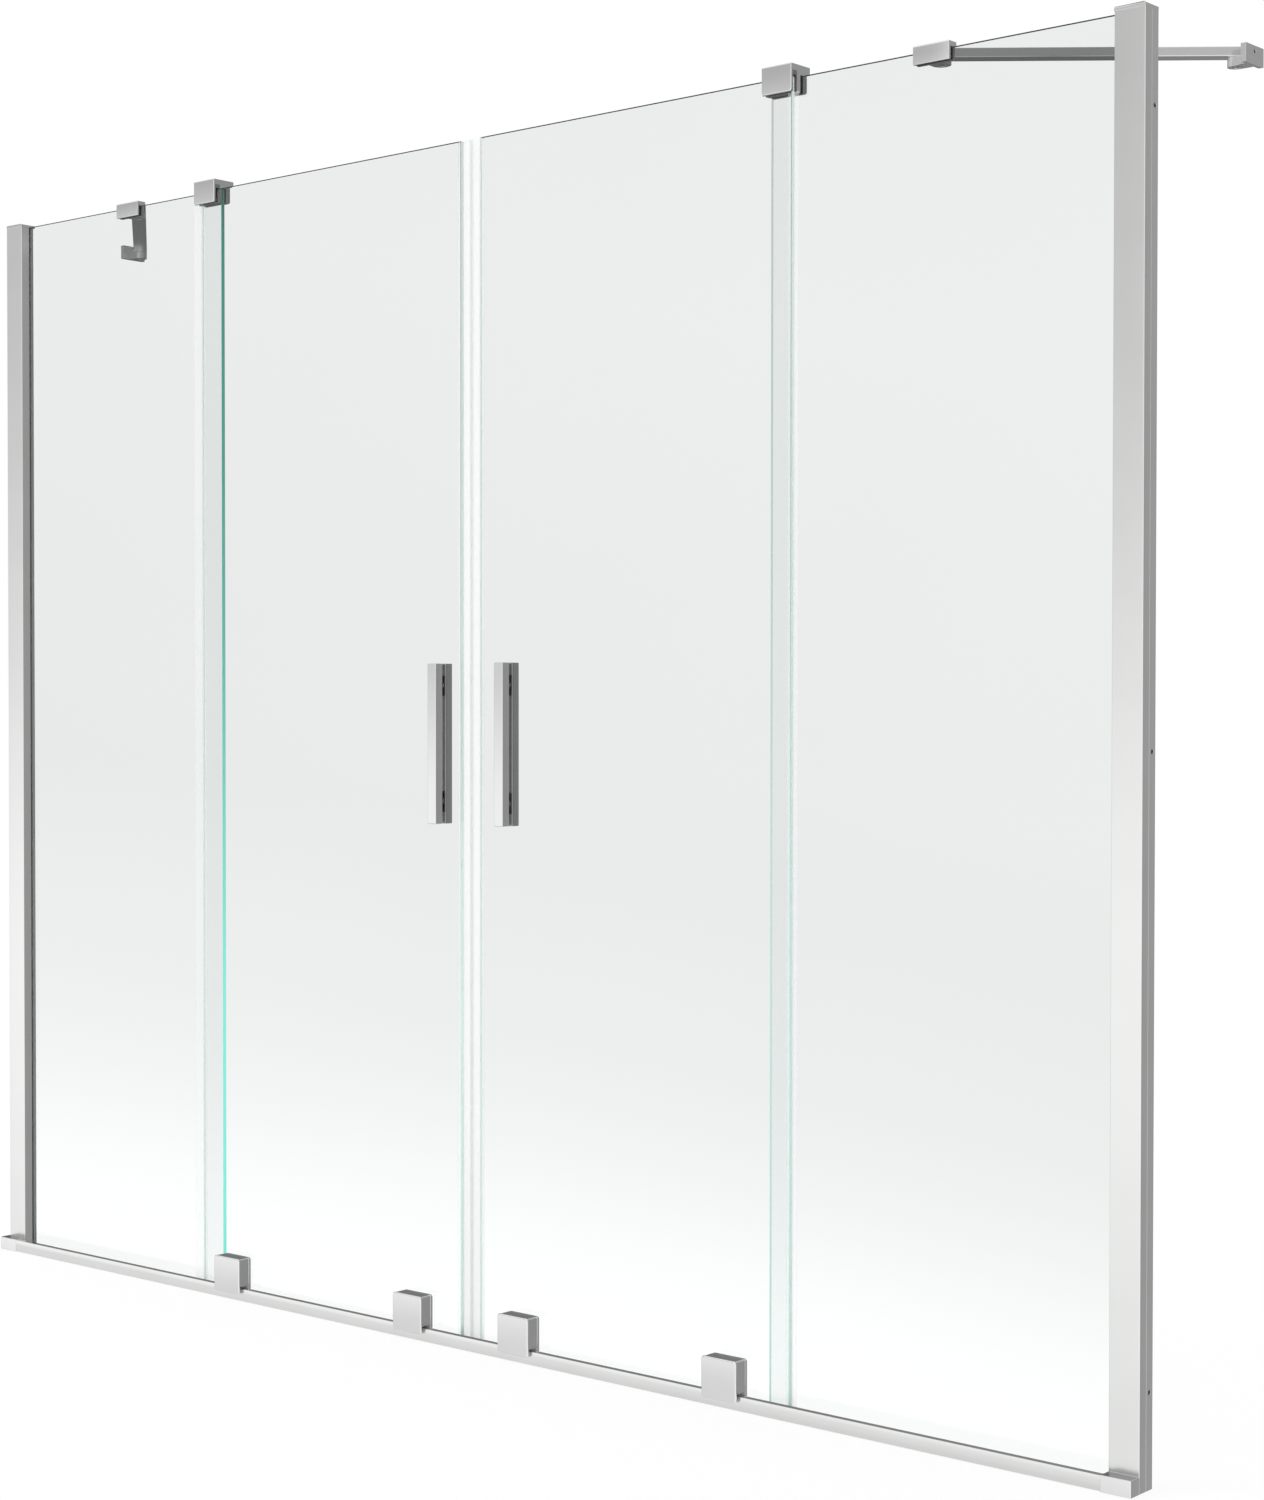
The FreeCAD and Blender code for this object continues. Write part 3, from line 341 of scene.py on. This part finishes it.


# The edges' real green, painted darker up the pane: painted shade.
GREEN_PAINTED_DARKER_UPWARD = [
    (0.0, (0.2, 1.0, 0.84)), (0.27, (0.2, 0.95, 0.8)), (0.46, (0.13, 0.7, 0.57)),
    (0.6, (0.08, 0.5, 0.4)), (0.75, (0.04, 0.35, 0.275)), (0.93, (0.028, 0.26, 0.197)),
    (1.0, (0.02, 0.12, 0.09))]
# The tops of the panes' edges are painted near black, a painted shade.
PAINTED_DARK_TOP = [(0.0, (0.01, 0.06, 0.045)), (1.0, (0.003, 0.02, 0.014))]
# Pale grinding: the real frosted colour of ground glass, which in the drilled holes also stands in
# for their glint, a painted highlight.
PALE_GRINDING_AND_GLINT = [(0.0, (0.88, 0.95, 0.94)), (0.5, (0.86, 0.91, 0.9)), (1.0, (0.84, 0.88, 0.87))]
# Painted light: the green edges glow with light of their own.
PAINTED_EDGE_GLOW = 0.2
pane_materials = {
    "face": clear_glass("pane glass", (0.953, 0.971, 0.968), ripple=0.00002, ripple_scale=3.0),
    "edge": edge_material("polished green edge", GREEN_PAINTED_DARKER_UPWARD, roughness=0.2,
                          from_inside=0.4, glow=PAINTED_EDGE_GLOW),
    "top": edge_material("top edge painted dark", PAINTED_DARK_TOP, roughness=0.5, from_inside=1.0),
    "ground": edge_material("ground edge and painted glint", PALE_GRINDING_AND_GLINT, roughness=0.5,
                            from_inside=0.3),
    "arris": edge_material("green arris", GREEN_PAINTED_DARKER_UPWARD, roughness=0.3, from_inside=0.5,
                           glow=PAINTED_EDGE_GLOW)}
PANE_SLOTS = list(pane_materials)
ARRIS = 0.0005
TOP_ARRIS = 0.0015
SQUARE_CORNER = math.radians(60)
PANE_CORNER = math.radians(20)
UPWARD = 0.5
SLOPING = 0.3
ENDWAYS = 0.95
HOLE_MARGIN = 0.01


def pane_slot(face, low, high, sealed):
    """Which part of a pane between its lowest and highest corner a face belongs to."""
    middle = face.calc_center_median()
    in_hole = (low.z + HOLE_MARGIN < middle.z
               and low.x + HOLE_MARGIN < middle.x < high.x - HOLE_MARGIN)
    if abs(face.normal.y) > FACING:
        return "face"
    if face.normal.z > UPWARD:
        return "top"
    if abs(face.normal.y) > SLOPING:
        return "arris"
    if sealed and (abs(face.normal.x) > ENDWAYS or in_hole):
        return "ground"
    return "edge"


def pane(node, sealed):
    """Glass with clear faces and chamfered edges; sealed edges and holes are left ground, and
    the holes' pale grinding also stands for their glint, a painted highlight.
    """
    solid = clean_copy(node)
    low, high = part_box(node)
    for at_top, width in ((False, ARRIS), (True, TOP_ARRIS)):
        rims = [edge for edge in solid.edges if edge.calc_face_angle(0) > SQUARE_CORNER
                and any(abs(face.normal.y) > FACING for face in edge.link_faces)
                and at_top == all(end.co.z > high.z - SAME_PLACE for end in edge.verts)]
        bmesh.ops.bevel(solid, geom=rims, offset=width, segments=1, profile=0.5, affect="EDGES",
                        clamp_overlap=True)
        solid.normal_update()
    for face in solid.faces:
        face.material_index = PANE_SLOTS.index(pane_slot(face, low, high, sealed))
    piece = piece_from(solid, node + "_pane", PANE_CORNER)
    for material in pane_materials.values():
        piece.data.materials.append(material)
    piece.visible_glossy = False
    fit(piece, node)


for side in SIDES:
    pane(side + "_fixed_glass", sealed=False)

# Glazing gaskets: clear soft extrusions pressed in between pane and profiles. Being
# thin, they show mostly where they are seen along their walls.
clear_strip, tree, shader = new_material("clear strip")
drawn = add(tree, "ShaderNodeMapping",
            {"Vector": place_on(tree), "Scale": (900, 900, 12)}).outputs[0]
streaks = noise(tree, drawn, scale=1.0)
facing = add(tree, "ShaderNodeLayerWeight", {"Blend": 0.2}).outputs["Facing"]
tint = ramp(tree, streaks, [(0.0, (0.78, 0.83, 0.82)), (1.0, (0.84, 0.88, 0.87))])
feed(tree, shader, {"Base Color": tint,
                    "Normal": bump(tree, streaks, distance=0.00001, strength=0.3),
                    "Alpha": scaled(tree, facing, low=0.1, high=0.5), "Roughness": 0.18})
for side in SIDES:
    dressed(side + "_glazing_gasket", clear_strip, edge=0.0002, steps=1)

# Top guides: die-cast saddles, satin chromed, clamped on the fixed panes' corners. A
# black liner keeps the metal off the glass, and a plastic slider guides the door.
GUIDE_MIDDLE = (0, 0, 1.497)
GUIDE_CURVE = (0, 0, 1.7)


def chrome(name, crown=None):
    """The satin chrome of the fittings, with a crowned face where one is given."""
    return satin_metal(name, grey(0.80), grey(0.775), roughness=0.22, grain=(2200, 2200, 2200),
                       relief=0.0000015, crown=crown)


GLOSS_SPREAD = 0.08


def moulded(name, light, dark, roughness, pit_scale, relief):
    """Moulded rubber or plastic with a fine skin and slight colour drift."""
    material, tree, shader = new_material(name)
    place = place_on(tree)
    skin = noise(tree, place, pit_scale, detail=3.0)
    drift = noise(tree, place, scale=40.0)
    gloss = scaled(tree, skin, low=roughness - GLOSS_SPREAD, high=roughness + GLOSS_SPREAD)
    feed(tree, shader, {"Base Color": ramp(tree, drift, [(0.0, dark), (1.0, light)]),
                        "Roughness": gloss,
                        "Normal": bump(tree, skin, distance=relief, strength=0.5)})
    return material


guide_chrome = chrome("guide chrome", (GUIDE_MIDDLE, GUIDE_CURVE))
black_rubber = moulded("black rubber", grey(0.022), grey(0.012), roughness=0.6,
                       pit_scale=1500.0, relief=0.00003)
slider_plastic = moulded("slider plastic", (0.15, 0.16, 0.16), (0.12, 0.13, 0.13), roughness=0.4,
                         pit_scale=900.0, relief=0.00002)
for side in SIDES:
    dressed(side + "_top_guide", guide_chrome, edge=0.0004, rim=0.0011, steps=4, clamped=False)
    dressed(side + "_guide_liner", black_rubber, edge=0.0002, steps=2)
    dressed(side + "_guide_slider", slider_plastic, edge=0.0002, steps=2)

# Set screws of the guides: stainless grub screws with a hexagon socket and a turned tip,
# driven in from behind against the liner.
turned_steel = satin_metal("turned steel", (0.64, 0.64, 0.63), (0.56, 0.56, 0.555), roughness=0.22,
                           grain=(2600, 2600, 2600), relief=0.000004)
screw_tree = bpy.data.node_groups.new("socket screws", "GeometryNodeTree")
screw_input = open_sockets(screw_tree, "INPUT", {
    "Points": "Geometry", "Head Radius": "Float", "Head Height": "Float", "Crown": "Float",
    "Shank Radius": "Float", "Shank Length": "Float", "Socket Width": "Float",
    "Socket Depth": "Float", "Turn": "Vector", "Metal": "Material"})
open_sockets(screw_tree, "OUTPUT", {"Screws": "Geometry"})
size = add(screw_tree, "NodeGroupInput").outputs


def cylinder(corners, radius, depth, rings=1):
    """A cylinder of the screw tree, its middle at the screw's seat."""
    return add(screw_tree, "GeometryNodeMeshCylinder",
               {"Vertices": corners, "Side Segments": rings, "Radius": radius,
                "Depth": depth}).outputs["Mesh"]


def raised(geometry, height):
    """Geometry of the screw tree moved along the screw."""
    along = add(screw_tree, "ShaderNodeCombineXYZ", {"Z": height}).outputs[0]
    return add(screw_tree, "GeometryNodeTransform",
               {"Geometry": geometry, "Translation": along}).outputs[0]


# The head's top is drawn in along an arc, and a hexagon, whose corners lie at its width
# over the root of three, is cut into it.
head = raised(cylinder(40, size["Head Radius"], size["Head Height"], rings=12),
              reckon(screw_tree, "DIVIDE", size["Head Height"], 2.0))
spot = add(screw_tree, "GeometryNodeInputPosition").outputs[0]
part = add(screw_tree, "ShaderNodeSeparateXYZ", {"Vector": spot}).outputs
up_crown = add(screw_tree, "ShaderNodeMapRange", {
    "Value": part["Z"], "From Max": size["Head Height"],
    "From Min": reckon(screw_tree, "SUBTRACT", size["Head Height"], size["Crown"])}).outputs["Result"]
arc_squared = reckon(screw_tree, "SUBTRACT", 1.0, reckon(screw_tree, "MULTIPLY", up_crown, up_crown))
arc_fall = reckon(screw_tree, "SUBTRACT", 1.0, reckon(screw_tree, "SQRT", arc_squared))
crown_share = reckon(screw_tree, "DIVIDE", size["Crown"], size["Head Radius"])
drawn_in = reckon(screw_tree, "SUBTRACT", 1.0, reckon(screw_tree, "MULTIPLY", crown_share, arc_fall))
crowned_spot = add(screw_tree, "ShaderNodeCombineXYZ",
                   {"X": reckon(screw_tree, "MULTIPLY", part["X"], drawn_in),
                    "Y": reckon(screw_tree, "MULTIPLY", part["Y"], drawn_in), "Z": part["Z"]})
crowned = add(screw_tree, "GeometryNodeSetPosition",
              {"Geometry": head, "Position": crowned_spot.outputs[0]}).outputs[0]
key = cylinder(6, reckon(screw_tree, "DIVIDE", size["Socket Width"], math.sqrt(3)),
               reckon(screw_tree, "MULTIPLY", size["Socket Depth"], 2.0))
socketed = add(screw_tree, "GeometryNodeMeshBoolean",
               {"Mesh 1": crowned, "Mesh 2": raised(key, size["Head Height"])},
               operation="DIFFERENCE", solver="EXACT").outputs["Mesh"]
shank = raised(cylinder(32, size["Shank Radius"], size["Shank Length"]),
               reckon(screw_tree, "DIVIDE", size["Shank Length"], -2.0))
whole = add(screw_tree, "GeometryNodeJoinGeometry")
for geometry in (socketed, shank):
    screw_tree.links.new(geometry, whole.inputs[0])
turned = add(screw_tree, "FunctionNodeEulerToRotation", {"Euler": size["Turn"]}).outputs[0]
placed = add(screw_tree, "GeometryNodeInstanceOnPoints",
             {"Points": size["Points"], "Instance": whole.outputs[0], "Rotation": turned}).outputs[0]
real = add(screw_tree, "GeometryNodeRealizeInstances", {"Geometry": placed}).outputs[0]
finished = add(screw_tree, "GeometryNodeSetMaterial",
               {"Geometry": real, "Material": size["Metal"]}).outputs[0]
add(screw_tree, "NodeGroupOutput", {"Screws": finished})
SCREW_CORNER = math.radians(28)


def screws(node, seats, sizes):
    """Socket screws with their heads' undersides at the seats, as one plain mesh."""
    seat_mesh = bpy.data.meshes.new(node + "_seats")
    seat_mesh.from_pydata(seats, [], [])
    piece = bpy.data.objects.new(node + "_finished", seat_mesh)
    bpy.context.scene.collection.objects.link(piece)
    making = piece.modifiers.new("screws", "NODES")
    making.node_group = screw_tree
    for title, measure in sizes.items():
        making[screw_input[title]] = measure
    making[screw_input["Metal"]] = turned_steel
    graph = bpy.context.evaluated_depsgraph_get()
    made = bpy.data.meshes.new_from_object(piece.evaluated_get(graph))
    piece.modifiers.remove(making)
    piece.data = made
    made.shade_smooth()
    made.set_sharp_from_angle(angle=SCREW_CORNER)
    fit(piece, node)


FACING_BACK = (math.radians(-90), 0, 0)
FACING_DOWN = (math.radians(180), 0, 0)
GRUB = {"Head Radius": 0.0025, "Head Height": 0.0058, "Crown": 0.0004, "Shank Radius": 0.0019,
        "Shank Length": 0.001, "Socket Width": 0.0025, "Socket Depth": 0.0022,
        "Turn": FACING_BACK}
GRUB_OFFSET = 0.010
GRUB_HEIGHT = 1.489
grub_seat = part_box("guide_screws")[0].y + GRUB["Shank Length"]
guide_seats = []
for side in SIDES:
    low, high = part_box(side + "_top_guide")
    for step in (-1, 1):
        guide_seats.append(((low.x + high.x) / 2 + step * GRUB_OFFSET, grub_seat, GRUB_HEIGHT))
screws("guide_screws", guide_seats, GRUB)

# Bar clamps: die-cast saddles on the fixed panes' top edges, satin chromed, lined with
# black rubber, each with a rounded ear that the support bar lies on.
CLAMP_CURVE = (1.7, 0, 3.0)
for side in SIDES:
    low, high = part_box(side + "_bar_clamp")
    clamp_middle = (low.x, 0, (low.z + high.z) / 2)
    clamp_chrome = chrome(side + " clamp chrome", (clamp_middle, CLAMP_CURVE))
    dressed(side + "_bar_clamp", clamp_chrome, edge=0.0004, rim=0.0007, clamped=False)
    dressed(side + "_clamp_liner", black_rubber, edge=0.0002, steps=2)

# Support bars and wall brackets: flat bar cut to length and cast brackets screwed to the
# side walls, satin chromed.
satin_chrome = chrome("satin chrome")
for side in SIDES:
    dressed(side + "_support_bar", satin_chrome, edge=0.0004)
    dressed(side + "_wall_bracket", satin_chrome, edge=0.0004, clamped=False)

# Bar screws: stainless button heads with a hexagon socket, driven up through the ears of
# clamps and brackets into the bars.
BUTTON = {"Head Radius": 0.005, "Head Height": 0.003, "Crown": 0.0014, "Shank Radius": 0.003,
          "Shank Length": 0.0102, "Socket Width": 0.004, "Socket Depth": 0.0018,
          "Turn": FACING_DOWN}
EAR = 0.010
button_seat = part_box("bar_screws")[0].z + BUTTON["Head Height"]
bar_seats = []
for side, sign in SIDES.items():
    low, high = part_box(side + "_bar_clamp")
    bar_seats.append(((low.x + high.x) / 2, high.y - EAR, button_seat))
    low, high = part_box(side + "_wall_bracket")
    inner = low.x if sign > 0 else high.x
    bar_seats.append((inner + sign * EAR, (low.y + high.y) / 2, button_seat))
screws("bar_screws", bar_seats, BUTTON)

# Doors: 6 mm toughened panes, drilled for the handle and the carriages. Their upright
# edges are only ground, because the seals cover them.
for side in SIDES:
    pane(side + "_door_glass", sealed=True)

# Door seals: clear extrusions pushed on the panes' edges. The outer edges carry a thin
# fin, and the meeting edges a chamber that takes the magnet.
for side in SIDES:
    for node in ("_magnet_seal", "_edge_seal"):
        dressed(side + node, clear_strip, edge=0.0002, steps=1).visible_glossy = False

# Handles: solid bars, satin chromed, one on each face of the door, on black pads. Two
# socket bolts go through the pane from the back bar into the front one.
HANDLE_BOLT = {"Head Radius": 0.0045, "Head Height": 0.003, "Crown": 0.0006,
               "Shank Radius": 0.003, "Shank Length": 0.0269, "Socket Width": 0.004,
               "Socket Depth": 0.0018, "Turn": FACING_BACK}
HANDLE_BOLT_PITCH = 0.145
for side in SIDES:
    for node in ("_handle_front", "_handle_back"):
        dressed(side + node, satin_chrome, edge=0.0003, steps=2)
    dressed(side + "_handle_pads", black_rubber, edge=0.0001, steps=1)
    low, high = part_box(side + "_handle_back")
    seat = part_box(side + "_handle_bolts")[1].y - HANDLE_BOLT["Head Height"]
    screws(side + "_handle_bolts",
           [((low.x + high.x) / 2, seat, (low.z + high.z) / 2 + step * HANDLE_BOLT_PITCH / 2)
            for step in (-1, 1)], HANDLE_BOLT)

# Roller carriages: cast covers and bases, satin chromed, bolted through the pane from
# behind. Hard plastic wheels turn on shouldered axles inside them.
COVER_MIDDLE = (0, 0, 0.040)
COVER_CURVE = (0, 0, 1.0)
CARRIAGE_BOLT = {"Head Radius": 0.0065, "Head Height": 0.0025, "Crown": 0.0018,
                 "Shank Radius": 0.003, "Shank Length": 0.0097, "Socket Width": 0.004,
                 "Socket Depth": 0.0016, "Turn": FACING_BACK}
CARRIAGE_BOLT_PITCH = 0.018
CARRIAGE_BOLT_HEIGHT = 0.046
cover_chrome = chrome("crowned chrome", (COVER_MIDDLE, COVER_CURVE))
# The cast inside is real, but its pale tone is painted light that lightens the shaded hollow.
raw_casting_painted_light = moulded("raw casting, painted light", grey(0.85), grey(0.78), roughness=0.6, pit_scale=1200.0,
                      relief=0.00003)
wheel_plastic = moulded("wheel plastic", (0.66, 0.67, 0.67), (0.6, 0.61, 0.61), roughness=0.35,
                        pit_scale=900.0, relief=0.00002)


def leave_raw_painted_light(piece, middle):
    """The faces of a carriage that look at the middle of its wheel stay as cast, and their
    pale tone is painted light that lightens the shaded hollow.
    """
    piece.data.materials.append(raw_casting_painted_light)
    for face in piece.data.polygons:
        if (middle - face.center).dot(face.normal) > 0:
            face.material_index = 1


for side in SIDES:
    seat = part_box(side + "_carriage_bolts")[1].y - CARRIAGE_BOLT["Head Height"]
    seats = []
    for roller in ("_inner", "_outer"):
        low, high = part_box(side + roller + "_wheel")
        wheel_middle = (low + high) / 2
        cover = dressed(side + roller + "_carriage_cover", cover_chrome, edge=0.0003, rim=0.0019,
                        steps=5)
        base = dressed(side + roller + "_carriage_base", satin_chrome, edge=0.0003, rim=0.0016,
                       steps=4, clamped=False)
        for casting in (cover, base):
            leave_raw_painted_light(casting, wheel_middle)
        dressed(side + roller + "_wheel", wheel_plastic, edge=0.0003, steps=2)
        low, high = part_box(side + roller + "_carriage_cover")
        for step in (-1, 1):
            seats.append(((low.x + high.x) / 2 + step * CARRIAGE_BOLT_PITCH / 2, seat,
                          CARRIAGE_BOLT_HEIGHT))
    screws(side + "_carriage_bolts", seats, CARRIAGE_BOLT)
    axles = frame["nodes"][side + "_axles"]
    axles.data.materials.clear()
    axles.data.materials.append(turned_steel)

# The floor: plain and pale. The camera sees it nearly white, and metal and glass don't
# see it at all but what the surround shows below.
FLOOR_REACH = 3.5
FLOOR_BACK = 1.5
FLOOR_LEVEL = -0.001
WHITENING = 0.88
floor_mesh = bpy.data.meshes.new("floor")
floor_mesh.from_pydata([(x, y, FLOOR_LEVEL) for x, y in (
    (-FLOOR_REACH, -FLOOR_REACH), (FLOOR_REACH, -FLOOR_REACH), (FLOOR_REACH, FLOOR_BACK),
    (-FLOOR_REACH, FLOOR_BACK))], [], [(0, 1, 2, 3)])
floor = bpy.data.objects.new("floor", floor_mesh)
bpy.context.scene.collection.objects.link(floor)
pale_floor, tree, shader = new_material("pale floor")
feed(tree, shader, {"Base Color": (*grey(0.95), 1), "Roughness": 0.9})
path = add(tree, "ShaderNodeLightPath").outputs
white = add(tree, "ShaderNodeEmission", {"Color": (1, 1, 1, 1), "Strength": 1.0})
whitened = mixed_shader(tree, reckon(tree, "MULTIPLY", path["Is Camera Ray"], WHITENING),
                        shader.outputs["BSDF"], white.outputs["Emission"])
bounces = reckon(tree, "ADD", path["Glossy Depth"], path["Transmission Depth"])
gone = add(tree, "ShaderNodeBsdfTransparent").outputs["BSDF"]
floor_surface = mixed_shader(tree, reckon(tree, "MINIMUM", bounces, 1.0), whitened, gone)
feed(tree, tree.nodes["Material Output"], {"Surface": floor_surface})
floor_mesh.materials.append(pale_floor)

# The lamp: one large soft panel, high in front on the left and aimed at the screen's
# middle. Metal and glass don't mirror it.
LAMP_PLACE = Vector((-2.2, -3.2, 3.4))
LAMP_AIM = Vector((0, 0, 0.8))
lamp_data = bpy.data.lights.new("soft lamp", "AREA")
lamp_data.shape = "RECTANGLE"
lamp_data.size = 2.5
lamp_data.size_y = 2.0
lamp_data.energy = 70
lamp = bpy.data.objects.new("soft lamp", lamp_data)
lamp.location = LAMP_PLACE
lamp.rotation_euler = (LAMP_AIM - LAMP_PLACE).to_track_quat("-Z", "Y").to_euler()
lamp.visible_glossy = False
lamp.visible_transmission = False
bpy.context.scene.collection.objects.link(lamp)

# The surround: white to the eye. Metal mirrors soft panels in it, bright in front and
# dark behind, and the panes show a pale slope from grey above to white below.
WHITE = (1, 1, 1, 1)
BLACK = (0, 0, 0, 1)
BRIGHT = (*grey(1.15), 1)
SIDE_GREY = (*grey(0.6), 1)
SLOPE = 0.2235
SLOPE_START = 0.157
DIMMING_PER_PANE = 0.3
MOST_DIMMING = 0.6
world = bpy.data.worlds.new("white surround")
bpy.context.scene.world = world
world.use_nodes = True
world_tree = world.node_tree
path = add(world_tree, "ShaderNodeLightPath").outputs
way = add(world_tree, "ShaderNodeTexCoord").outputs["Generated"]
along = add(world_tree, "ShaderNodeSeparateXYZ", {"Vector": way}).outputs


def between(value, low, high):
    """A share that goes from 0 to 1 as a value goes from low to high."""
    return add(world_tree, "ShaderNodeMapRange",
               {"Value": value, "From Min": low, "From Max": high}).outputs["Result"]


def graded(part, stops):
    """Greys at stops of one part of a direction, which runs from -1 to 1."""
    return ramp(world_tree, between(part, -1, 1),
                [((stop + 1) / 2, grey(tone)) for stop, tone in stops])


def blend(share, first, second):
    """A colour that goes from the first to the second as the share goes from 0 to 1."""
    return add(world_tree, "ShaderNodeMix", {0: share, 6: first, 7: second},
               data_type="RGBA").outputs[2]


front_left = graded(along["Z"], [
    (-0.75, 0.7), (-0.6, 0.76), (-0.45, 0.84), (-0.37, 0.88), (-0.29, 0.75), (-0.2, 0.98),
    (-0.1, 1.22), (-0.05, 1.2), (0.0, 0.93), (0.04, 0.78), (0.12, 0.64), (0.28, 0.43),
    (0.36, 0.5), (0.5, 1.15)])
front_right = graded(along["Z"], [
    (-1.0, 1.0), (-0.05, 1.15), (0.08, 0.9), (0.17, 0.5), (1.0, 0.7)])
behind = graded(along["X"], [
    (-1.0, 0.3), (-0.85, 0.2), (-0.6, 0.19), (-0.4, 0.25), (-0.2, 0.6), (0.1, 0.6), (0.36, 0.37),
    (0.5, 0.35), (0.62, 0.31), (1.0, 0.3)])
below = reckon(world_tree, "MULTIPLY", between(along["Z"], -0.5, -0.7),
               between(along["Y"], -0.45, -0.2))
in_front = blend(below, front_left, BRIGHT)
in_front = blend(between(along["X"], -0.3, -0.1), in_front, BRIGHT)
in_front = blend(between(along["X"], 0.5, 0.72), in_front, front_right)
mirrored = blend(between(along["Y"], -0.1, 0.3), in_front, behind)
sideways = reckon(world_tree, "ABSOLUTE", along["X"])
mirrored = blend(between(sideways, 0.84, 0.96), mirrored, SIDE_GREY)
dimming = reckon(world_tree, "MINIMUM", MOST_DIMMING, reckon(
    world_tree, "MULTIPLY", path["Transmission Depth"], DIMMING_PER_PANE))
mirrored = blend(dimming, mirrored, BLACK)
slant = reckon(world_tree, "MULTIPLY_ADD", along["X"], SLOPE, SLOPE_START)
through = graded(reckon(world_tree, "ADD", along["Z"], slant), [
    (-0.45, 0.9), (-0.3, 1.08), (-0.205, 1.08), (-0.185, 1.05), (-0.166, 1.0), (-0.148, 0.95),
    (-0.129, 0.911), (-0.11, 0.881), (-0.073, 0.862), (-0.035, 0.845), (0.0, 0.867),
    (0.08, 0.893), (0.17, 0.916)])
shown = blend(path["Is Transmission Ray"], WHITE, through)
shown = blend(reckon(world_tree, "MINIMUM", path["Glossy Depth"], 1.0), shown, mirrored)
shown = blend(path["Is Camera Ray"], shown, WHITE)
feed(world_tree, world_tree.nodes["Background"], {"Color": shown, "Strength": 1.0})

# The camera: at the photograph's place, low in front of the right end, looking along the
# screen to the left. The shift keeps the upright lines as they stand in the frame.
PHOTO_WIDTH, PHOTO_HEIGHT = 1264, 1500
FOCAL_PIXELS = 2639.3
CENTRE_X, CENTRE_Y = 378.0, 755.7
SENSOR = 36.0
CAMERA_PLACE = (2.1562, -2.4558, 0.7963)
yaw, pitch, roll = (math.radians(angle) for angle in (43.248, 1.064, -0.058))
forward = Vector((-math.sin(yaw) * math.cos(pitch), math.cos(yaw) * math.cos(pitch),
                  -math.sin(pitch)))
level_right = Vector((math.cos(yaw), math.sin(yaw), 0))
level_up = level_right.cross(forward)
right = level_right * math.cos(roll) + level_up * math.sin(roll)
up = level_up * math.cos(roll) - level_right * math.sin(roll)
camera_data = bpy.data.cameras.new("camera")
camera_data.sensor_width = SENSOR
camera_data.lens = FOCAL_PIXELS * SENSOR / PHOTO_HEIGHT
camera_data.shift_x = (PHOTO_WIDTH / 2 - CENTRE_X) / PHOTO_HEIGHT
camera_data.shift_y = (CENTRE_Y - PHOTO_HEIGHT / 2) / PHOTO_HEIGHT
camera_data.clip_start = 0.01
camera = bpy.data.objects.new("camera", camera_data)
turn = Matrix((right, up, -forward)).transposed().to_4x4()
camera.matrix_world = Matrix.Translation(CAMERA_PLACE) @ turn
bpy.context.scene.collection.objects.link(camera)
bpy.context.scene.camera = camera
bpy.context.scene.view_settings.view_transform = "Standard"
